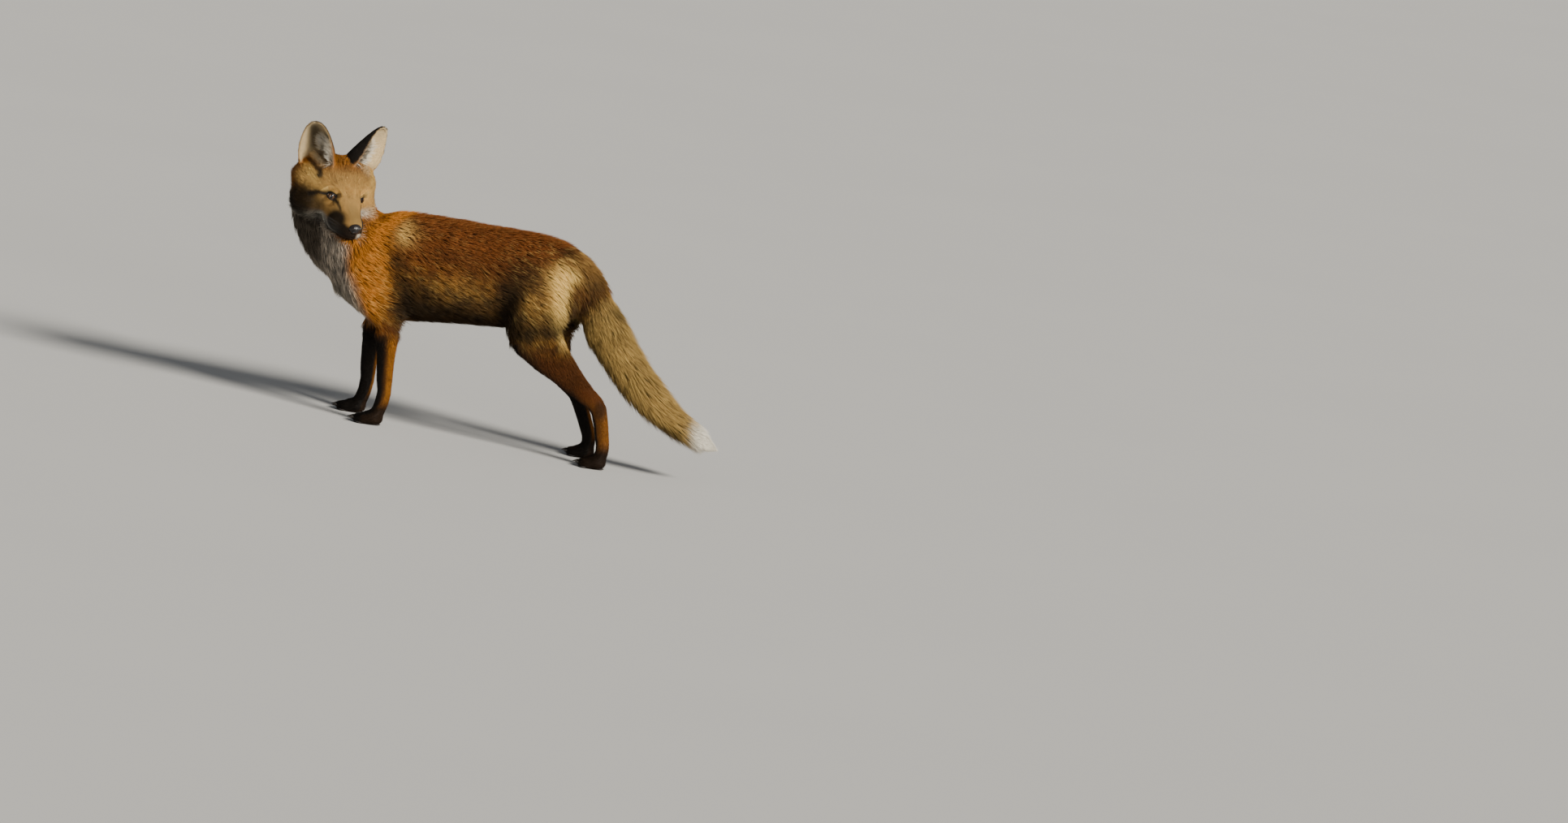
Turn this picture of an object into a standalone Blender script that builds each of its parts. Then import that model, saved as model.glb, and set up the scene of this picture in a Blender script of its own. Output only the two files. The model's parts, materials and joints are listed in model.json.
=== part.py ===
"""A young red fox, life size, standing on level ground and looking back over its left shoulder.

The row frame has +Z up and the animal's forward direction along -Y, so its left side is +X.
The body is modelled whole, out to the tips of its coat: lofted forms for the trunk, neck, head,
legs and tail are fused into one skin, then parted with thin cuts into the pieces a person would
name. Ears, eyes and nose are solids of their own, set into the head.
"""
import math

import bmesh
import bpy
import numpy as np
from mathutils import Matrix, Vector

# ---------------------------------------------------------------- driving dimensions (metres)
PARTING = 0.0005  # width of the cuts between the body's pieces
CLEARANCE = 0.0003  # gap round a piece that is set into the head
VOXEL = 0.003  # grain of the fused body before it is simplified
FINE_TRIANGLES = 7000  # the fused body after simplification at the face and feet
BODY_TRIANGLES = 5000  # and after simplification of the rest
RING_SIDES = 28
LOFT_STEPS = 5

LEG_SPREAD = 0.047  # half the distance between the left and right feet
LEFT, RIGHT = 1, -1

# The head's own frame: +X to the nose, +Y to the animal's left, +Z up through the crown.
HEAD_CENTRE = Vector((0.066, -0.308, 0.374))
HEAD_TURN = math.radians(49)  # of the face, from +X towards +Y
HEAD_BOW = math.radians(23.5)  # nose below the horizon
HEAD_TILT = math.radians(-1)  # about the line of the nose
HEAD_SCALE = 1.04
EYE_FORWARD, EYE_OUT, EYE_UP = 0.0275, 0.0245, 0.0018
EYE_RADIUS = 0.0082
EYE_TURN = math.radians(36)  # the way an eye looks, outwards from the line of the nose
NOSE_FORWARD, NOSE_UP = 0.0865, -0.0195
EAR_THICKNESS = 0.0042


def clear_scene():
    for obj in list(bpy.data.objects):
        bpy.data.objects.remove(obj, do_unlink=True)


# ---------------------------------------------------------------- shape tools
def eased(keys, steps=LOFT_STEPS):
    """A smooth curve through rows of key values, with `steps` samples from one key to the next."""
    keys = np.asarray(keys, float)
    padded = np.vstack([2 * keys[0] - keys[1], keys, 2 * keys[-1] - keys[-2]])
    rows = []
    for i in range(len(keys) - 1):
        before, start, end, after = padded[i : i + 4]
        for t in np.arange(steps) / steps:
            rows.append(
                0.5
                * (
                    2 * start
                    + (end - before) * t
                    + (2 * before - 5 * start + 4 * end - after) * t**2
                    + (3 * start - before - 3 * end + after) * t**3
                )
            )
    rows.append(keys[-1])
    return np.array(rows)


def loft(keys, lateral=(1, 0, 0), roundness=2.2, steps=LOFT_STEPS):
    """Points and faces of a closed form. A key is (x, y, z, half width, rise, drop): the rings stand
    square to the path, rise is measured to the side lateral x path, and drop to the other."""
    rows = eased(keys, steps)
    path = rows[:, :3]
    tangents = np.gradient(path, axis=0)
    tangents /= np.linalg.norm(tangents, axis=1)[:, None]
    side = np.array(lateral) - tangents * (tangents @ np.array(lateral))[:, None]
    side /= np.linalg.norm(side, axis=1)[:, None]
    rise = np.cross(side, tangents)
    angles = 2 * math.pi * np.arange(RING_SIDES) / RING_SIDES
    across = np.sign(np.cos(angles)) * np.abs(np.cos(angles)) ** (2 / roundness)
    along = np.sign(np.sin(angles)) * np.abs(np.sin(angles)) ** (2 / roundness)
    points = []
    for i, (half, up, down) in enumerate(np.maximum(rows[:, 3:6], 1e-4)):
        height = np.where(along > 0, up, down) * along
        points.append(path[i] + np.outer(half * across, side[i]) + np.outer(height, rise[i]))
    points = np.vstack(points + [path[:1], path[-1:]])
    rings = len(rows)
    first, last = rings * RING_SIDES, rings * RING_SIDES + 1
    faces = []
    for j in range(RING_SIDES):
        k = (j + 1) % RING_SIDES
        for i in range(rings - 1):
            a, b = i * RING_SIDES, (i + 1) * RING_SIDES
            faces.append((a + j, b + j, b + k, a + k))
        faces.append((first, j, k))
        faces.append((last, (rings - 1) * RING_SIDES + k, (rings - 1) * RING_SIDES + j))
    return points, faces


def ellipsoid(centre, radii, turn=None, segments=20):
    """Points and faces of an ellipsoid, turned by a 3 x 3 matrix about its centre."""
    mesh = bmesh.new()
    bmesh.ops.create_uvsphere(mesh, u_segments=segments, v_segments=segments * 5 // 8, radius=1)
    points = np.array([v.co for v in mesh.verts]) * np.array(radii)
    faces = [tuple(v.index for v in f.verts) for f in mesh.faces]
    mesh.free()
    if turn is not None:
        points = points @ np.array(turn).T
    return points + np.array(centre), faces


def box(low, high):
    """Points and faces of an upright box."""
    points = [(x, y, z) for z in (low[2], high[2]) for y in (low[1], high[1]) for x in (low[0], high[0])]
    return np.array(points), [(0, 2, 3, 1), (4, 5, 7, 6), (0, 1, 5, 4), (2, 6, 7, 3), (0, 4, 6, 2), (1, 3, 7, 5)]


def add_object(name, points, faces):
    mesh = bpy.data.meshes.new(name)
    mesh.from_pydata([tuple(p) for p in points], [], faces)
    obj = bpy.data.objects.new(name, mesh)
    bpy.context.scene.collection.objects.link(obj)
    work = bmesh.new()
    work.from_mesh(mesh)
    bmesh.ops.recalc_face_normals(work, faces=work.faces)
    work.to_mesh(mesh)
    work.free()
    return obj


def joined(name, shapes):
    """One object from several (points, faces) shapes."""
    points, faces, count = [], [], 0
    for shape_points, shape_faces in shapes:
        points.append(shape_points)
        faces += [tuple(i + count for i in face) for face in shape_faces]
        count += len(shape_points)
    return add_object(name, np.vstack(points), faces)


def settle(obj):
    """Applies an object's modifiers, so that its mesh is what shows."""
    graph = bpy.context.evaluated_depsgraph_get()
    mesh = bpy.data.meshes.new_from_object(obj.evaluated_get(graph))
    obj.modifiers.clear()
    obj.data = mesh
    return obj


def subtract(obj, cutter):
    cut = obj.modifiers.new("cut", "BOOLEAN")
    cut.operation = "DIFFERENCE"
    cut.object = cutter
    settle(obj)
    return obj


def discard(*objects):
    for obj in objects:
        bpy.data.objects.remove(obj, do_unlink=True)


# ---------------------------------------------------------------- trunk, neck and tail
# Height of the back and of the chest and belly along the trunk, with its half width.
#        y,      back,  belly, half width
TRUNK = [
    (-0.322, 0.260, 0.226, 0.022),
    (-0.301, 0.290, 0.195, 0.042),
    (-0.264, 0.329, 0.170, 0.057),
    (-0.216, 0.349, 0.167, 0.064),
    (-0.150, 0.355, 0.176, 0.067),
    (-0.085, 0.356, 0.184, 0.068),
    (-0.020, 0.357, 0.191, 0.064),
    (0.030, 0.358, 0.201, 0.061),
    (0.072, 0.354, 0.215, 0.060),
    (0.108, 0.338, 0.238, 0.052),
    (0.132, 0.316, 0.262, 0.036),
]

# The neck runs down from behind the skull. Its rise is towards the nape, its drop to the throat.
NECK = [
    (0.056, -0.328, 0.385, 0.046, 0.034, 0.042),
    (0.041, -0.336, 0.362, 0.054, 0.045, 0.055),
    (0.023, -0.328, 0.330, 0.057, 0.056, 0.066),
    (0.008, -0.300, 0.294, 0.058, 0.066, 0.073),
    (0.000, -0.258, 0.264, 0.060, 0.074, 0.062),
    (0.000, -0.205, 0.252, 0.058, 0.080, 0.050),
]

TAIL = [
    (0.000, 0.078, 0.316, 0.024, 0.024, 0.028),
    (0.000, 0.108, 0.298, 0.029, 0.029, 0.033),
    (0.001, 0.136, 0.264, 0.033, 0.031, 0.043),
    (0.003, 0.168, 0.220, 0.035, 0.032, 0.044),
    (0.005, 0.207, 0.172, 0.035, 0.032, 0.040),
    (0.007, 0.255, 0.127, 0.032, 0.030, 0.033),
    (0.008, 0.305, 0.092, 0.026, 0.025, 0.025),
    (0.009, 0.340, 0.076, 0.019, 0.018, 0.017),
    (0.009, 0.363, 0.068, 0.010, 0.009, 0.009),
    (0.009, 0.375, 0.065, 0.003, 0.003, 0.003),
]


def trunk_form():
    keys = []
    for y, back, belly, half in TRUNK:
        widest = belly + 0.45 * (back - belly)
        keys.append((0, y, widest, half, back - widest, widest - belly))
    return loft(keys, roundness=2.15)


# ---------------------------------------------------------------- legs
# Each leg is a chain of keys from the body down: (out from the midline, y, z, half width, rear, front).
# The left legs stand a little further back than the right ones, as after a short step.
def fore_leg(side, step):
    """The shoulder, upper arm, forearm and pastern of one front leg. `step` moves the foot forward."""
    x = LEG_SPREAD
    keys = [
        (0.034, -0.222, 0.318, 0.018, 0.030, 0.030),
        (0.044, -0.242 - 0.05 * step, 0.280, 0.024, 0.044, 0.042),
        (0.050, -0.248 - 0.22 * step, 0.240, 0.023, 0.046, 0.041),
        (0.051, -0.225 - 0.50 * step, 0.206, 0.020, 0.037, 0.036),
        (0.050, -0.200 - 0.74 * step, 0.180, 0.017, 0.025, 0.027),
        (x, -0.191 - 0.88 * step, 0.148, 0.0145, 0.0172, 0.0225),
        (x, -0.187 - 0.95 * step, 0.110, 0.0128, 0.0136, 0.0195),
        (x, -0.184 - 0.98 * step, 0.074, 0.0118, 0.0122, 0.0172),
        (x, -0.183 - 1.00 * step, 0.056, 0.0114, 0.0118, 0.0140),
        (x, -0.186 - 1.00 * step, 0.034, 0.0118, 0.0112, 0.0130),
        (x, -0.193 - 1.00 * step, 0.014, 0.0130, 0.0115, 0.0120),
    ]
    return loft([(side * k[0], *k[1:]) for k in keys])


def hind_leg(side, step, tuck):
    """The thigh, shank and long foot of one hind leg. `step` moves the foot forward, and `tuck` the
    hock over it."""
    x = LEG_SPREAD
    keys = [
        (0.030, 0.066, 0.318, 0.022, 0.036, 0.034),
        (0.040, 0.060, 0.282, 0.027, 0.052, 0.050),
        (0.046, 0.054 - 0.10 * step, 0.244, 0.028, 0.056, 0.059),
        (0.049, 0.058 - 0.30 * step, 0.208, 0.025, 0.049, 0.056),
        (0.049, 0.081 - 0.55 * step, 0.176, 0.020, 0.037, 0.040),
        (0.048, 0.114 - 0.75 * step - 0.5 * tuck, 0.148, 0.0160, 0.0260, 0.0280),
        (x, 0.149 - 0.92 * step - 0.9 * tuck, 0.122, 0.0132, 0.0180, 0.0195),
        (x, 0.176 - 1.00 * step - 1.0 * tuck, 0.103, 0.0122, 0.0155, 0.0150),
        (x, 0.187 - 1.00 * step - 0.9 * tuck, 0.082, 0.0118, 0.0127, 0.0140),
        (x, 0.194 - 1.00 * step - 0.5 * tuck, 0.055, 0.0114, 0.0118, 0.0132),
        (x, 0.198 - 1.00 * step - 0.2 * tuck, 0.032, 0.0115, 0.0114, 0.0116),
        (x, 0.194 - 1.00 * step, 0.014, 0.0130, 0.0110, 0.0120),
    ]
    return loft([(side * k[0], *k[1:]) for k in keys])


def paw(centre, size=1.0):
    """The pad and four toes of a foot. The two middle toes reach furthest forward, along -Y."""
    x, y = centre
    shapes = [ellipsoid((x, y - 0.004, 0.011), (0.0175 * size, 0.020 * size, 0.0135))]
    for place in (-1.5, -0.5, 0.5, 1.5):
        outer = abs(place) > 1
        toe_y = y - (0.017 if outer else 0.0235) * size
        spread = math.radians(-7 * place)
        turn = Matrix.Rotation(spread, 3, "Z")
        radii = (0.0062 * size, 0.0135 * size, 0.0092)
        shapes.append(ellipsoid((x + 0.0083 * place * size, toe_y, 0.0076), radii, turn))
    return shapes


FEET = {  # how far forward each foot is set, and where its pad stands
    "front_left": (LEFT, 0.000),
    "front_right": (RIGHT, 0.063),
    "hind_left": (LEFT, 0.000),
    "hind_right": (RIGHT, 0.050),
}


HOCK_TUCK = 0.015  # how far the right hock is carried forward of the left one's stance


def leg_forms():
    shapes = []
    for name, (side, step) in FEET.items():
        if name.startswith("front"):
            shapes.append(fore_leg(side, step))
            shapes += paw((side * LEG_SPREAD, -0.195 - step), 1.03)
        else:
            shapes.append(hind_leg(side, step, HOCK_TUCK if side == RIGHT else 0))
            shapes += paw((side * LEG_SPREAD, 0.193 - step), 0.97)
    return shapes


# ---------------------------------------------------------------- head
def head_matrix():
    turn = Matrix.Rotation(HEAD_TURN, 4, "Z")
    bow = Matrix.Rotation(HEAD_BOW, 4, "Y")
    tilt = Matrix.Rotation(HEAD_TILT, 4, "X")
    return Matrix.Translation(HEAD_CENTRE) @ turn @ bow @ tilt @ Matrix.Scale(HEAD_SCALE, 4)


def in_head(points):
    """Points of the head's own frame, moved to the row frame."""
    matrix = np.array(head_matrix())
    return np.asarray(points) @ matrix[:3, :3].T + matrix[:3, 3]


# Along the head from the nose back: (forward, crown, widest level, throat, half width).
SKULL = [
    (0.0920, -0.0150, -0.0250, -0.0345, 0.0085),
    (0.0880, -0.0110, -0.0260, -0.0435, 0.0140),
    (0.0780, -0.0085, -0.0270, -0.0495, 0.0182),
    (0.0640, -0.0040, -0.0270, -0.0540, 0.0205),
    (0.0510, 0.0010, -0.0250, -0.0560, 0.0230),
    (0.0390, 0.0075, -0.0220, -0.0570, 0.0280),
    (0.0270, 0.0160, -0.0180, -0.0545, 0.0365),
    (0.0130, 0.0235, -0.0120, -0.0560, 0.0530),
    (-0.0050, 0.0270, -0.0080, -0.0565, 0.0670),
    (-0.0250, 0.0250, -0.0070, -0.0560, 0.0700),
    (-0.0440, 0.0150, -0.0080, -0.0500, 0.0600),
    (-0.0600, -0.0040, -0.0120, -0.0360, 0.0340),
]


def head_forms():
    keys = [(a, 0, mid, half, top - mid, mid - low) for a, top, mid, low, half in SKULL]
    points, faces = loft(keys, lateral=(0, -1, 0), roundness=2.5)
    shapes = [(in_head(points), faces)]
    for side in (LEFT, RIGHT):
        for centre, radii, turn in (
            ((-0.006, side * 0.044, -0.024), (0.038, 0.029, 0.031), side * 0.35),  # cheek
            ((0.014, side * 0.0225, 0.0125), (0.018, 0.0110, 0.0080), side * 0.30),  # brow
            ((0.073, side * 0.0100, -0.0300), (0.019, 0.0120, 0.0130), -side * 0.10),  # lip
            ((0.042, side * 0.0170, -0.0310), (0.032, 0.0135, 0.0170), side * 0.28),  # jowl
            ((-0.018, side * 0.044, 0.0030), (0.033, 0.0300, 0.0280), 0),  # root of the ear
        ):
            form, form_faces = ellipsoid(centre, radii, Matrix.Rotation(turn, 3, "Z"))
            shapes.append((in_head(form), form_faces))
    return shapes


# Up an ear from its root: (height, half width, degrees the cup wraps to either side of its back).
EAR = [
    (0.000, 0.0240, 118),
    (0.015, 0.0265, 112),
    (0.030, 0.0280, 105),
    (0.045, 0.0278, 96),
    (0.058, 0.0257, 84),
    (0.069, 0.0219, 72),
    (0.078, 0.0170, 62),
    (0.084, 0.0117, 54),
    (0.088, 0.0048, 48),
]
EARS = {  # side, root, swing of the opening outwards, lean back and splay outwards in degrees
    "ear_left": (LEFT, (-0.034, 0.022, 0.018), 18, -7, 30),
    "ear_right": (RIGHT, (-0.034, 0.022, 0.018), 37, -8, 33),
}


def ear_form(side, root, swing, lean, splay):
    """The surface of one ear, a leaf cupped about its own long axis and open at the front."""
    rows, columns = eased(EAR, 1), 11
    points = []
    for height, half, wrap in rows:
        cup = math.radians(wrap)
        radius = half / math.sin(min(cup, math.pi / 2))
        for j in range(columns):
            angle = (2 * j / (columns - 1) - 1) * cup
            points.append((
                radius * (0.53 - math.cos(angle)) - 1.3 * height**2, radius * math.sin(angle), height
            ))
    faces = [
        (i * columns + j, i * columns + j + 1, (i + 1) * columns + j + 1, (i + 1) * columns + j)
        for i in range(len(rows) - 1)
        for j in range(columns - 1)
    ]
    place = (
        Matrix.Translation((root[0], side * root[1], root[2]))
        @ Matrix.Rotation(-side * math.radians(splay), 4, "X")
        @ Matrix.Rotation(-math.radians(lean), 4, "Y")
        @ Matrix.Rotation(side * math.radians(swing), 4, "Z")
    )
    matrix = np.array(place)
    return in_head(np.array(points) @ matrix[:3, :3].T + matrix[:3, 3]), faces


def ear(name):
    points, faces = ear_form(*EARS[name])
    obj = add_object(name, points, faces)
    wall = obj.modifiers.new("wall", "SOLIDIFY")
    wall.thickness = EAR_THICKNESS
    wall.offset = 0
    return settle(obj)


def nose_form(grow=0.0):
    """The leathery pad at the tip of the muzzle: broad above, with a cleft below."""
    centre = (NOSE_FORWARD, 0, NOSE_UP)
    points, faces = ellipsoid((0, 0, 0), (0.0090 + grow, 0.0112 + grow, 0.0088 + grow), segments=14)
    low = np.clip(-points[:, 2] / 0.0088, 0, 1)
    points[:, 1] *= 1 - 0.45 * low
    points[:, 0] -= 0.0022 * low
    return in_head(points + np.array(centre)), faces


def socket_form(side):
    """The almond-shaped hollow in front of an eye."""
    outward = Matrix.Rotation(side * EYE_TURN, 3, "Z")
    centre = np.array((EYE_FORWARD, side * EYE_OUT, EYE_UP)) + np.array(outward @ Vector((0.0103, 0, 0.0020)))
    points, faces = ellipsoid(centre, (0.0085, 0.0105, 0.0062), outward @ Matrix.Rotation(-side * 0.25, 3, "X"))
    return in_head(points), faces


def eye_form(side, grow=0.0):
    centre = (EYE_FORWARD, side * EYE_OUT, EYE_UP)
    points, faces = ellipsoid((0, 0, 0), (EYE_RADIUS + grow,) * 3, segments=14)
    return in_head(points + np.array(centre)), faces


# ---------------------------------------------------------------- parting the body
def parting(centre, normal, across, along):
    """A thin slab that cuts the body square to `normal`. `across` and `along` are its half sizes, the
    first as near as can be to the X axis."""
    normal = Vector(normal).normalized()
    side = Vector((1, 0, 0))
    side = (side - normal * side.dot(normal)).normalized()
    frame = np.array((side, normal.cross(side), normal))
    points, faces = box((-across, -along, -PARTING / 2), (across, along, PARTING / 2))
    return points @ frame + np.array(centre), faces


def parting_slabs():
    slabs = [
        parting((0.036, -0.318, 0.346), (0.50, 0.06, 0.87), 0.120, 0.120),
        parting((0.000, -0.266, 0.272), (0, -0.80, 0.60), 0.085, 0.125),
        parting((0.000, 0.134, 0.262), (0, 0.861, -0.508), 0.046, 0.047),
        parting((0.004, 0.200, 0.182), (0, 0.72, -0.70), 0.055, 0.055),
        parting((0.009, 0.328, 0.080), (0, 0.88, -0.47), 0.040, 0.040),
    ]
    for name, (side, step) in FEET.items():
        x = side * LEG_SPREAD
        if name.startswith("front"):
            slabs.append(parting((x, -0.193 - 0.86 * step, 0.158), (0, 0, 1), 0.030, 0.032))
            slabs.append(parting((x, -0.179 - step, 0.058), (0, 0, 1), 0.028, 0.030))
        else:
            slabs.append(parting((x, 0.066 - 0.35 * step, 0.202 - 0.12 * step), (0, -0.35, 0.94), 0.0455, 0.078))
            slabs.append(parting((x, 0.176 - step, 0.101), (0, -0.35, 0.94), 0.028, 0.034))
    return slabs


# A point near the middle of each piece, which tells the parted pieces from each other.
LANDMARKS = {
    "head": (0.066, -0.288, 0.370),
    "neck": (0.010, -0.310, 0.305),
    "trunk": (0.000, -0.060, 0.270),
    "tail_root": (0.002, 0.170, 0.235),
    "tail_brush": (0.007, 0.275, 0.125),
    "tail_tip": (0.009, 0.360, 0.068),
}
for foot, (foot_side, foot_step) in FEET.items():
    foot_x = foot_side * LEG_SPREAD
    if foot.startswith("front"):
        LANDMARKS[foot + "_leg"] = (foot_x, -0.185 - 0.75 * foot_step, 0.108)
        LANDMARKS[foot + "_paw"] = (foot_x, -0.195 - foot_step, 0.020)
    else:
        LANDMARKS[foot + "_leg"] = (foot_x, 0.100 - 0.60 * foot_step, 0.165)
        LANDMARKS[foot + "_paw"] = (foot_x, 0.195 - foot_step, 0.045)


def soften(body, iterations, weight=None):
    """Smooths the surface, all over or as far as weight(x, y, z) says."""
    smooth = body.modifiers.new("smooth", "SMOOTH")
    smooth.factor = 0.5
    smooth.iterations = iterations
    if weight:
        group = body.vertex_groups.new(name="smooth")
        for vertex in body.data.vertices:
            group.add([vertex.index], weight(*vertex.co), "REPLACE")
        smooth.vertex_group = group.name
    settle(body)
    body.vertex_groups.clear()


def under_the_head(x, y, z):
    """1 over the trunk, neck and thighs, easing to 0 at the head and down the legs."""
    above_legs = np.clip((z - 0.12) / 0.06, 0, 1)
    below_head = np.clip((0.400 - 0.25 * x - z) / 0.05, 0, 1)
    return float(above_legs * below_head)


def behind_the_face(x, y, z):
    """1 over the back of the head, easing to 0 at the eyes and below the jaw."""
    forward, out, up = head_matrix().inverted() @ Vector((x, y, z))
    near = np.clip((0.085 - Vector((forward + 0.01, out, up)).length) / 0.02, 0, 1)
    return float(near * np.clip((0.020 - forward) / 0.020, 0, 1))


def face_or_foot(x, y, z):
    return z < 0.04 and y < 0.25 or z > 0.30 and x > 0.05 and y < -0.2


def simplify(body, triangles, spare=False):
    """Decimates the body to a number of triangles, leaving the face and feet alone if told to spare
    them."""
    thin = body.modifiers.new("thin", "DECIMATE")
    thin.ratio = triangles / sum(len(face.vertices) - 2 for face in body.data.polygons)
    thin.use_collapse_triangulate = True
    if spare:
        group = body.vertex_groups.new(name="plain")
        for vertex in body.data.vertices:
            group.add([vertex.index], 0.0 if face_or_foot(*vertex.co) else 1.0, "REPLACE")
        thin.vertex_group = group.name
    settle(body)
    body.vertex_groups.clear()
    return body


def body_form():
    """Every fleshy form fused into one skin, hollowed at the eyes and simplified."""
    body = joined("body", [trunk_form(), loft(NECK), loft(TAIL)] + leg_forms() + head_forms())
    fuse = body.modifiers.new("fuse", "REMESH")
    fuse.mode = "VOXEL"
    fuse.voxel_size = VOXEL
    settle(body)
    soften(body, 6)
    soften(body, 30, under_the_head)
    soften(body, 24, behind_the_face)
    for side in (LEFT, RIGHT):
        hollow = add_object("hollow", *socket_form(side))
        subtract(body, hollow)
        discard(hollow)
    simplify(body, FINE_TRIANGLES)
    return simplify(body, BODY_TRIANGLES, spare=True)


def stand_flat(body):
    """Cuts the soles level at the floor."""
    floor = add_object("floor", *box((-1, -1, -1), (1, 1, 0)))
    subtract(body, floor)
    discard(floor)


def set_in(body, name, shape):
    """Seats a solid in the body with CLEARANCE all round. shape(grow) gives its points and faces."""
    seat = add_object("seat", *shape(CLEARANCE))
    subtract(body, seat)
    discard(seat)
    add_object(name, *shape())


def fit_ear(name, body):
    """An ear with its root trimmed to follow the head, CLEARANCE away."""
    shell = ear(name)
    swollen = add_object("swollen", [v.co for v in body.data.vertices], [tuple(f.vertices) for f in body.data.polygons])
    swell = swollen.modifiers.new("swell", "DISPLACE")
    swell.strength = CLEARANCE
    swell.mid_level = 0
    settle(swollen)
    subtract(shell, swollen)
    discard(swollen)


def part_body(body):
    """Cuts the body with the parting slabs and names the pieces by their landmarks."""
    for slab in parting_slabs():
        knife = add_object("knife", *slab)
        subtract(body, knife)
        discard(knife)
    bpy.ops.object.select_all(action="DESELECT")
    body.select_set(True)
    bpy.context.view_layer.objects.active = body
    bpy.ops.mesh.separate(type="LOOSE")
    loose = list(bpy.context.selected_objects)
    for name, landmark in LANDMARKS.items():
        nearest = min(loose, key=lambda piece: (middle(piece) - Vector(landmark)).length)
        nearest.name = nearest.data.name = name
        loose.remove(nearest)


def centre_on_floor():
    """Moves every piece so that the whole stands centred over the row's origin."""
    pieces = list(bpy.context.scene.objects)
    points = np.array([v.co for piece in pieces for v in piece.data.vertices])
    low, high = points.min(axis=0), points.max(axis=0)
    shift = Matrix.Translation((-(low[0] + high[0]) / 2, -(low[1] + high[1]) / 2, 0))
    for piece in pieces:
        piece.data.transform(shift)


def middle(obj):
    return sum((Vector(corner) for corner in obj.bound_box), Vector()) / 8


# ---------------------------------------------------------------- finish
#            colour,                roughness
FINISHES = {
    "rust_coat": ((0.42, 0.15, 0.04), 0.85),
    "tawny_coat": ((0.45, 0.26, 0.12), 0.85),
    "white_coat": ((0.75, 0.72, 0.66), 0.85),
    "black_coat": ((0.03, 0.022, 0.018), 0.80),
    "nose_leather": ((0.015, 0.013, 0.013), 0.35),
    "eye": ((0.10, 0.045, 0.015), 0.08),
}


def finish(obj, slot):
    colour, roughness = FINISHES[slot]
    material = bpy.data.materials.get(slot) or bpy.data.materials.new(slot)
    material.use_nodes = True
    shader = material.node_tree.nodes["Principled BSDF"]
    shader.inputs["Base Color"].default_value = (*colour, 1)
    shader.inputs["Roughness"].default_value = roughness
    shader.inputs["Metallic"].default_value = 0
    obj.data.materials.clear()
    obj.data.materials.append(material)


def slot_of(name):
    if name.startswith("eye"):
        return "eye"
    if name == "nose":
        return "nose_leather"
    if name == "tail_tip":
        return "white_coat"
    if name.startswith("tail"):
        return "tawny_coat"
    if name.startswith(("front", "hind")) or name.startswith("ear"):
        return "black_coat"
    return "rust_coat"


clear_scene()
fox = body_form()
stand_flat(fox)
for ear_name in EARS:
    fit_ear(ear_name, fox)
set_in(fox, "eye_left", lambda grow=0.0: eye_form(LEFT, grow))
set_in(fox, "eye_right", lambda grow=0.0: eye_form(RIGHT, grow))
set_in(fox, "nose", nose_form)
part_body(fox)
centre_on_floor()
for piece in bpy.context.scene.objects:
    finish(piece, slot_of(piece.name))
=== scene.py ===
"""The looks of a young red fox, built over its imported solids.

Everything is in metres. The fox faces -Y with its left side towards +X, and its head is turned back
over its left shoulder. Sizes are given from the fox's own datum: the floor below its midline.
"""
import json
import math

import bmesh
import bpy
import numpy as np
from mathutils import Matrix, Vector
from mathutils.bvhtree import BVHTree
from mathutils.kdtree import KDTree

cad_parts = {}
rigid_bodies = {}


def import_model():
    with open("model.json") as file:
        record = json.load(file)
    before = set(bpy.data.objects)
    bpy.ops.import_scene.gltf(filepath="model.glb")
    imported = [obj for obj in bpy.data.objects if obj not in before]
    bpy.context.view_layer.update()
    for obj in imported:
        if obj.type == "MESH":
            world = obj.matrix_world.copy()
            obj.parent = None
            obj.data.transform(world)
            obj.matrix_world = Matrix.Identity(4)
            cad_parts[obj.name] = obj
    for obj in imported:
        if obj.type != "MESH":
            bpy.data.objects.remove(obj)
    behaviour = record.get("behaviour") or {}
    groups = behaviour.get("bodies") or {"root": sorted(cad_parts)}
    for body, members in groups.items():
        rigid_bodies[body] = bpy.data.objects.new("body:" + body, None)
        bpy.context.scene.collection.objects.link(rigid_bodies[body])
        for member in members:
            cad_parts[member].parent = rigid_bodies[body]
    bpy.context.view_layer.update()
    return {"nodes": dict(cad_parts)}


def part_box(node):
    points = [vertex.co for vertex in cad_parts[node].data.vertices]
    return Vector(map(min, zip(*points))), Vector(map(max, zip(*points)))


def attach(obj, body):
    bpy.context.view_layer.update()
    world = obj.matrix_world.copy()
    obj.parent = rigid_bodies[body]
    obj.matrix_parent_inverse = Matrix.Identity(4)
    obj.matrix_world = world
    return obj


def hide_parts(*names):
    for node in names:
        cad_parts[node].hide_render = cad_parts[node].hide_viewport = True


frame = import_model()

# ---------------------------------------------------------------- hide
# The hide is the fox's skin over its flesh, one closed surface from nose to tail tip with the ears
# drawn out of it. The pieces of flesh are swollen until they touch, fused, and sunk by the depth of
# the coat, so that no joint between them shows.
LEFT, RIGHT = 1, -1
HEAD_CENTRE = Vector((0.066, -0.308, 0.374))
HEAD_TURN, HEAD_BOW, HEAD_TILT = math.radians(49), math.radians(23.5), math.radians(-1)
HEAD_SCALE = 1.04
EYE_CENTRE = np.array((0.0275, 0.0245, 0.0018))  # forward, out and up in the head's own frame
EYE_RADIUS = 0.0082
EYE_TURN, EYE_RISE = math.radians(31), 0.24  # the way the lids open: outwards, and up
NOSE_CENTRE = np.array((0.0865, 0, -0.0195))
HIDE_GRAIN, HIDE_KEPT = 0.0024, 0.60  # voxel of the fused hide, and the share of its faces kept
SWELL = 0.0006  # more than half of the cuts between the pieces
HIDE_OFF_FLOOR = 0.0008

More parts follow.
